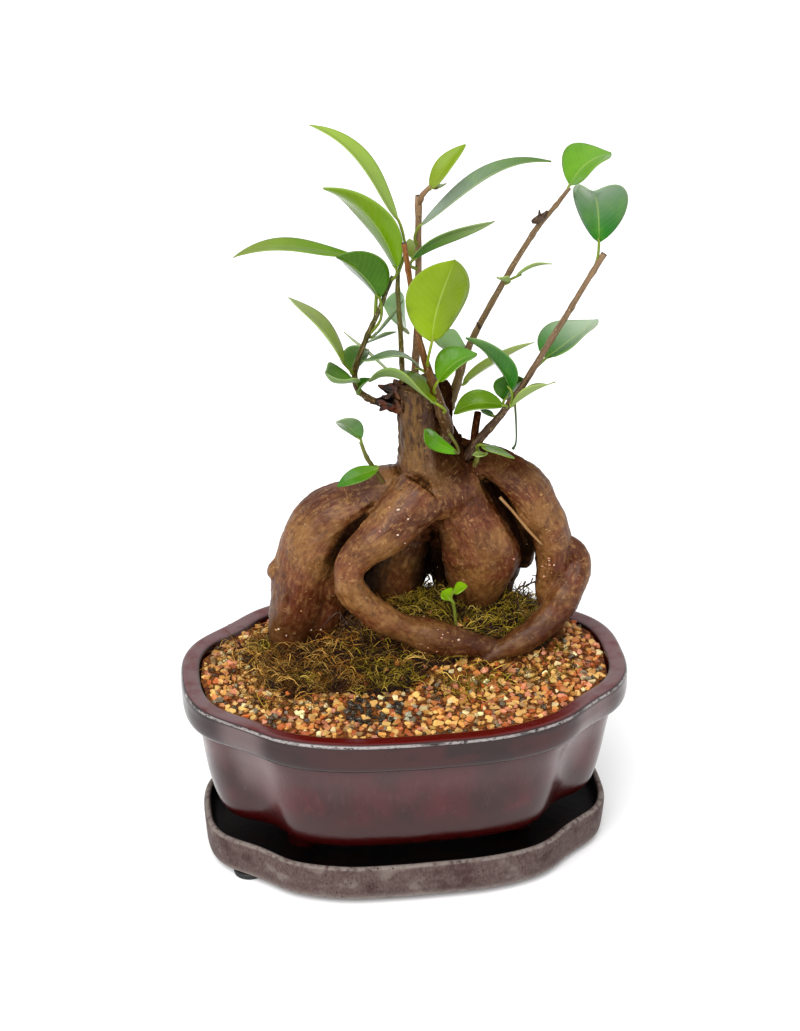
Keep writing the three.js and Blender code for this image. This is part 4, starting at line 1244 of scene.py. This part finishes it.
def shoot(name, plan):
    bm = bmesh.new()
    line = smooth_line(plan["stem"], TWIG_STEPS)
    low_tint, high_tint, stalk_tint = [Vector(linear(*tone)) for tone in plan["tints"]]
    for stations in [plan["stem"], *plan.get("twigs", [])]:
        twig = tube(stations, TWIG_SIDES, TWIG_STEPS, joint_swell)
        pour(bm, tinted(twig, lambda share: low_tint.lerp(high_tint, share)))
    for at, *leaf, tint in plan["leaves"]:
        beside = isinstance(at, list)
        start = Vector(at) if beside else point_at(line, at)
        pour(bm, stalk(start, *leaf[:2], low_tint if beside else stalk_tint))
        pour(bm, blade(leaf, *[Vector(linear(*tone)) for tone in TINTS[tint]]))
    show(f"fine_{name}", bm, shoot_finishes, [name])


for name, plan in SHOOTS.items():
    shoot(name, plan)

# %% [markdown]
# The grit is a layer of broken grains, 2 to 4 mm across, from cream and tan to brick red and grey.
# A bumpy texture would give itself away at the edges. A few angular grains are made once, each the
# hull of a few scattered points, and set down over a thousand times on the bed of the solid, with
# a different turn, size and colour each time.

# %% Grit
GRAIN_FORMS, GRAIN_CORNERS = 14, 13
GRIT_AREA, GRIT_SPACING = (-78, -54, 156, 108), 2.4
WALL_GAP = 1.1
ABOVE_THE_BED, LEVEL_ENOUGH = 100, 0.4
GRAINS_ON_MOSS, LIFT_ON_MOSS = 0.06, 2.2
random.seed(11)


def surface_of(name):
    """The solid of a node, for finding what lies under a point."""
    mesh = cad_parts[name].data
    return BVHTree.FromPolygons([v.co / MM for v in mesh.vertices], [p.vertices[:] for p in mesh.polygons])


gravel_bed, moss_bed = surface_of("gravel"), surface_of("moss")


def under(bed, x, y):
    """Where a plumb line meets the bed, or None where it meets a wall or nothing."""
    spot, normal, _, _ = bed.ray_cast(Vector((x, y, ABOVE_THE_BED)), Vector((0, 0, -1)))
    return spot if spot is not None and normal.z > LEVEL_ENOUGH else None


def spots_over(low_x, low_y, wide, deep, spacing):
    """Places on a grid, each moved at random within its own square."""
    for i in range(int(wide / spacing)):
        for j in range(int(deep / spacing)):
            x = low_x + (i + random.uniform(0, 1)) * spacing
            y = low_y + (j + random.uniform(0, 1)) * spacing
            yield x, y


def random_turn():
    return Matrix.Rotation(random.uniform(0, math.tau), 4, "Z")


def empty_heap():
    """A bmesh for scattered things, whose points keep a tint."""
    bm = bmesh.new()
    bm.verts.layers.float_color.new("tint")
    return bm


def grain_shape():
    bm = bmesh.new()
    for _ in range(GRAIN_CORNERS):
        away = Vector((random.gauss(0, 1), random.gauss(0, 1), random.gauss(0, 1))).normalized()
        bm.verts.new((away.x, away.y * 0.85, away.z * 0.7))
    hull = bmesh.ops.convex_hull(bm, input=bm.verts)
    loose = [v for v in hull["geom_interior"] if isinstance(v, bmesh.types.BMVert)]
    bmesh.ops.delete(bm, geom=loose, context="VERTS")
    bm.verts.layers.float_color.new("tint")
    bmesh.ops.recalc_face_normals(bm, faces=bm.faces)
    return kept_mesh("grain", bm)


GRAIN_TINTS = [
    (7, (206, 146, 74)), (6, (222, 172, 98)), (3, (238, 214, 156)), (5, (190, 116, 62)),
    (4, (180, 92, 44)), (3, (204, 130, 96)), (3, (222, 178, 98)), (2, (150, 76, 42)),
    (2, (150, 116, 76)), (1, (120, 108, 88)), (2, (64, 48, 36)),
]
grain_shapes = [grain_shape() for _ in range(GRAIN_FORMS)]


def weighted(tints):
    """One of the tints, drawn by its weight."""
    weights, tones = zip(*tints)
    return random.choices(tones, weights)[0]


def scatter(target, shape, matrix, tint):
    """Sets down one turned and tinted copy of a shape."""
    copy = shape.copy()
    copy.transform(matrix)
    values = [c for _ in copy.vertices for c in tint]
    copy.attributes["tint"].data.foreach_set("color", values)
    target.from_mesh(copy)
    bpy.data.meshes.remove(copy)


def grain_tint(x, y):
    litter = math.hypot((x + 16) / 11, (y + 31) / 9) < 1
    lichen = math.hypot((x + 5) / 7, (y + 33) / 6) < 1
    if lichen and random.random() < 0.5:
        shade = random.uniform(120, 200)
        return linear(shade, shade * 0.98, shade * 0.82)
    if litter and random.random() < 0.7:
        shade = random.uniform(24, 70)
        return linear(shade, shade * 0.9, shade * 0.75)
    tone = weighted(GRAIN_TINTS)
    lift = random.uniform(0.9, 1.16)
    return linear(*[min(255, c * lift) for c in tone])


def grit():
    bm = empty_heap()
    count = 0
    for x, y in spots_over(*GRIT_AREA, GRIT_SPACING):
        spot, mossy = under(gravel_bed, x, y), under(moss_bed, x, y) is not None
        further_out = under(gravel_bed, x * (1 + WALL_GAP / 80), y * (1 + WALL_GAP / 55))
        if spot is None or further_out is None or (mossy and random.random() > GRAINS_ON_MOSS):
            continue
        size = random.uniform(1.05, 1.95)
        lift = LIFT_ON_MOSS if mossy else random.uniform(0.1, 0.7)
        turn = random_turn() @ Matrix.Rotation(random.uniform(-0.7, 0.7), 4, "X")
        matrix = Matrix.Translation(spot + Vector((0, 0, lift))) @ turn @ Matrix.Scale(size, 4)
        scatter(bm, random.choice(grain_shapes), matrix, grain_tint(x, y))
        count += 1
    print(count, "grains")
    return bm


def grit_finish():
    f = Finish("grit", 0.42, 0.3)
    fine = f.cloud(f.place(), 0.5, 4)
    f.colour(f.coats(f.kept("tint", "Color"), [
        (f.between(fine, 0.5, 0.75), 0.35, (240, 215, 175)),
        (f.between(fine, 0.45, 0.25), 0.35, (90, 50, 30)),
    ]))
    f.relief(fine, 0.1)
    return f


grit_look = grit_finish()
show("grit_grains", grit(), [grit_look], smooth=False)

# %% [markdown]
# Below the loose grains lies the bed that the solid gives. Only a little of it shows between them, so
# it is painted the dark colour of grit in shadow: painted shade. The soil under it is dark and crumbly.

# %% Bed, soil and the ground under the moss


def ground_finish(name, dark, light, size):
    f = Finish(name, 0.9, 0.2)
    here = f.place()
    crumbs = f.cloud(here, size, 5)
    ground = f.blend(f.between(crumbs, 0.35, 0.65), dark, light)
    f.colour(f.coats(ground, [(f.speckles(here, size * 2, 0.3), 1, light)]))
    f.relief(crumbs, 0.4)
    return f


def dress(node, finish):
    """Gives a carried node its finish."""
    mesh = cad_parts[node].data
    mesh.materials.clear()
    mesh.materials.append(finish.material)


# painted shade: the bed between the grains is painted as grit in shadow
dress("gravel", ground_finish("grit_bed_in_shade", (70, 40, 20), (140, 86, 44), 1.4))
dress("potting_soil", ground_finish("potting_soil", (26, 18, 13), (66, 46, 32), 1.2))
dress("moss", ground_finish("moss_ground", (28, 18, 9), (66, 46, 20), 1.3))

# %% [markdown]
# The moss is a dry tangle of thin strands, olive and straw coloured over dark ones. Hair would be
# quick, but only real geometry can be exported. A few small tufts of bent three sided strands are
# made once and set down all over the moss bed, and here and there on the grit round it.

# %% Moss strands
TUFT_FORMS, STRANDS_IN_TUFT = 18, 3
MOSS_AREA, MOSS_SPACING = (-72, -28, 144, 72), 1.6


def strand(reach, rise):
    """One thin bent strand that starts a little under the ground."""
    turn = random.uniform(0, math.tau)
    way = Vector((math.cos(turn), math.sin(turn), 0))
    side = Vector((-way.y, way.x, 0)) * random.uniform(-0.5, 0.5) * reach
    points = [
        way * (reach * t) + side * math.sin(3 * t) + Vector((0, 0, -0.8 + rise * math.sin(2.4 * t)))
        for t in (0, 0.25, 0.5, 0.75, 1)
    ]
    thin = random.uniform(0.13, 0.25)
    stations = [[*p, thin * (1 - 0.6 * i / 4)] for i, p in enumerate(points)]
    return tube(stations, 3, 1, capped=False)


def tuft():
    bm = bmesh.new()
    for _ in range(STRANDS_IN_TUFT):
        pour(bm, strand(random.uniform(3, 9), random.uniform(1.2, 5.2)))
    bm.verts.layers.float_color.new("tint")
    return kept_mesh("tuft", bm)


MOSS_BROWNS = [
    (4, (134, 90, 38)), (3, (164, 120, 56)), (4, (92, 58, 27)), (3, (60, 37, 19)), (3, (196, 154, 82)),
]
MOSS_GREENS = [
    (4, (144, 126, 38)), (3, (174, 146, 54)), (3, (102, 86, 28)), (3, (60, 42, 17)), (2, (200, 172, 84)),
]
# Where thin strands lie on the grit beyond the bed: middle, half axes and how many there are
STRAYS = [
    ((-57, 12), (13, 26), 0.5), ((-45, -17), (14, 9), 0.45),
    ((24, -15), (30, 9), 0.4), ((55, 2), (9, 12), 0.3),
]


def strays_at(x, y):
    """The share of tufts that stay beyond the bed, fewer towards the edge of each patch."""
    best = 0
    for (a, b), (wide, deep), share in STRAYS:
        best = max(best, share * (1.3 - math.hypot((x - a) / wide, (y - b) / deep)))
    return best


def moss():
    tufts = [tuft() for _ in range(TUFT_FORMS)]
    bm = empty_heap()
    count = 0
    for x, y in spots_over(*MOSS_AREA, MOSS_SPACING):
        spot = under(moss_bed, x, y)
        if spot is None and random.random() < strays_at(x, y):
            spot = under(gravel_bed, x, y)
        if spot is None:
            continue
        green = noise.noise(Vector((x / 14, y / 14, 3.7))) + (x + 10) / 90 > random.uniform(-0.3, 0.3)
        tone = weighted(MOSS_GREENS if green else MOSS_BROWNS)
        matrix = Matrix.Translation(spot) @ random_turn() @ Matrix.Scale(random.uniform(0.65, 1.25), 4)
        lift = random.uniform(0.62, 1.42)
        scatter(bm, random.choice(tufts), matrix, linear(*[c * lift for c in tone]))
        count += 1
    print(count, "tufts of moss")
    return bm


def moss_finish():
    f = Finish("moss_strand", 0.65, 0.2)
    here = f.place()
    tone = f.cloud(here, 6, 3)
    f.colour(f.coats(f.kept("tint", "Color"), [
        (f.between(tone, 0.5, 0.7), 0.3, (168, 136, 60)),
        (f.between(tone, 0.5, 0.3), 0.5, (50, 32, 16)),
    ]))
    f.relief(f.cloud(here, 0.4, 2), 0.05)
    return f


show("moss_strands", moss(), [moss_finish()])

# %% [markdown]
# Fine roots hang in the gaps between the thick ones, one long pale root crosses from the trunk to
# the right arch, and a loose stalk hangs under the low shoot. A broken side twig and a bud stand
# near the end of the long shoot, with another bud lower down. A texture can't cross a gap, so each
# hair is a thin tube that wanders downwards from where it starts.

# %% Fine roots
HANGING_ROOT = [[35, 1, 136.5, 0.6], [40, 0, 130.5, 0.55], [45, -1, 124, 0.6], [50.5, -2, 117.5, 0.4]]
LOOSE_STALK = [[38.5, -5, 177, 0.45], [39, -6, 168, 0.35], [39, -6, 160.5, 0.35], [38, -6, 158.5, 0.6]]
# The broken side twig and the two small buds
BUDS = [
    [[46.6, 12.6, 236.4, 0.6], [48.6, 11.6, 237.6, 1.5], [50.6, 11.6, 238.6, 1.2], [51.8, 12, 240.4, 0.3]],
    [[49, 11.6, 238, 0.9], [48.9, 11.4, 241, 0.25]], [[29.2, 14.2, 197.6, 0.9], [27.8, 13.2, 199.6, 0.3]],
]
# The boxes that hair roots start in, and how many start there
HAIR_PLACES = [
    ((44, 18, 84), (57, 26, 97), 12), ((10, 24, 84), (26, 30, 96), 12), ((24, 4, 80), (40, 16, 88), 14),
    ((-26, 0, 84), (-14, 14, 96), 14), ((40, -2, 92), (46, 10, 100), 6),
]


def hair_root(start):
    point, way = Vector(start), Vector((random.uniform(-1, 1), random.uniform(-0.5, 0.5), -0.6))
    thick = random.uniform(0.22, 0.4)
    steps = random.randint(4, 7)
    stations = []
    for step in range(steps):
        stations.append([*point, thick * (1 - 0.7 * step / steps)])
        way += Vector((random.gauss(0, 0.5), random.gauss(0, 0.4), random.gauss(-0.2, 0.35)))
        point = point + way.normalized() * random.uniform(1.2, 2.4)
    return tube(stations, 5, 2, capped=False)


def fine_roots():
    pieces = [(tube(stations, 8, 4, splinter, capped=False), (66, 50, 40)) for stations in BUDS]
    pieces.append((tube(HANGING_ROOT, 8, 5, capped=False), (158, 118, 76)))
    pieces.append((tube(LOOSE_STALK, 8, 4, capped=False), (50, 76, 24)))
    for low_corner, high_corner, count in HAIR_PLACES:
        for _ in range(count):
            start = [random.uniform(a, b) for a, b in zip(low_corner, high_corner)]
            pieces.append((hair_root(start), (58, 38, 22)))
    bm = bmesh.new()
    for piece, tone in pieces:
        pour(bm, tinted(piece, lambda share: linear(*tone)))
    return bm


show("fine_roots", fine_roots(), [shoot_finishes[0]])

# %% [markdown]
# Crumbs of grit and soil stuck to the bark when the fig was potted. They are the same grains as in
# the grit, much smaller, each set down where the skin is nearest.

# %% Crumbs on the bark
# The middle of each patch, how far it reaches and how many crumbs stick there
CRUMB_PLACES = [
    ((-5, -10, 132), 7, 10), ((49, -6, 108), 6, 14), ((10, -12, 84), 14, 14), ((-38, 6, 84), 9, 8),
]
CRUMB_TINTS = [(232, 206, 180), (214, 150, 128), (190, 140, 90), (120, 84, 54)]


def crumbs():
    bm = empty_heap()
    for middle, reach, count in CRUMB_PLACES:
        for _ in range(count):
            near = Vector(middle) + Vector([random.gauss(0, reach / 2) for _ in range(3)])
            spot = wood_tree.find_nearest(near)[0]
            matrix = Matrix.Translation(spot) @ random_turn() @ Matrix.Scale(random.uniform(0.3, 0.75), 4)
            tint = linear(*random.choice(CRUMB_TINTS))
            scatter(bm, random.choice(grain_shapes), matrix, tint)
    return bm


show("crumbs_on_bark", crumbs(), [grit_look], smooth=False)

# %% [markdown]
# Last, the box of what shows is printed in millimetres.

# %% Print the box of what shows
low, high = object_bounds()
print("visual box in mm:", [round(v / MM, 1) for v in (*low, *high)])
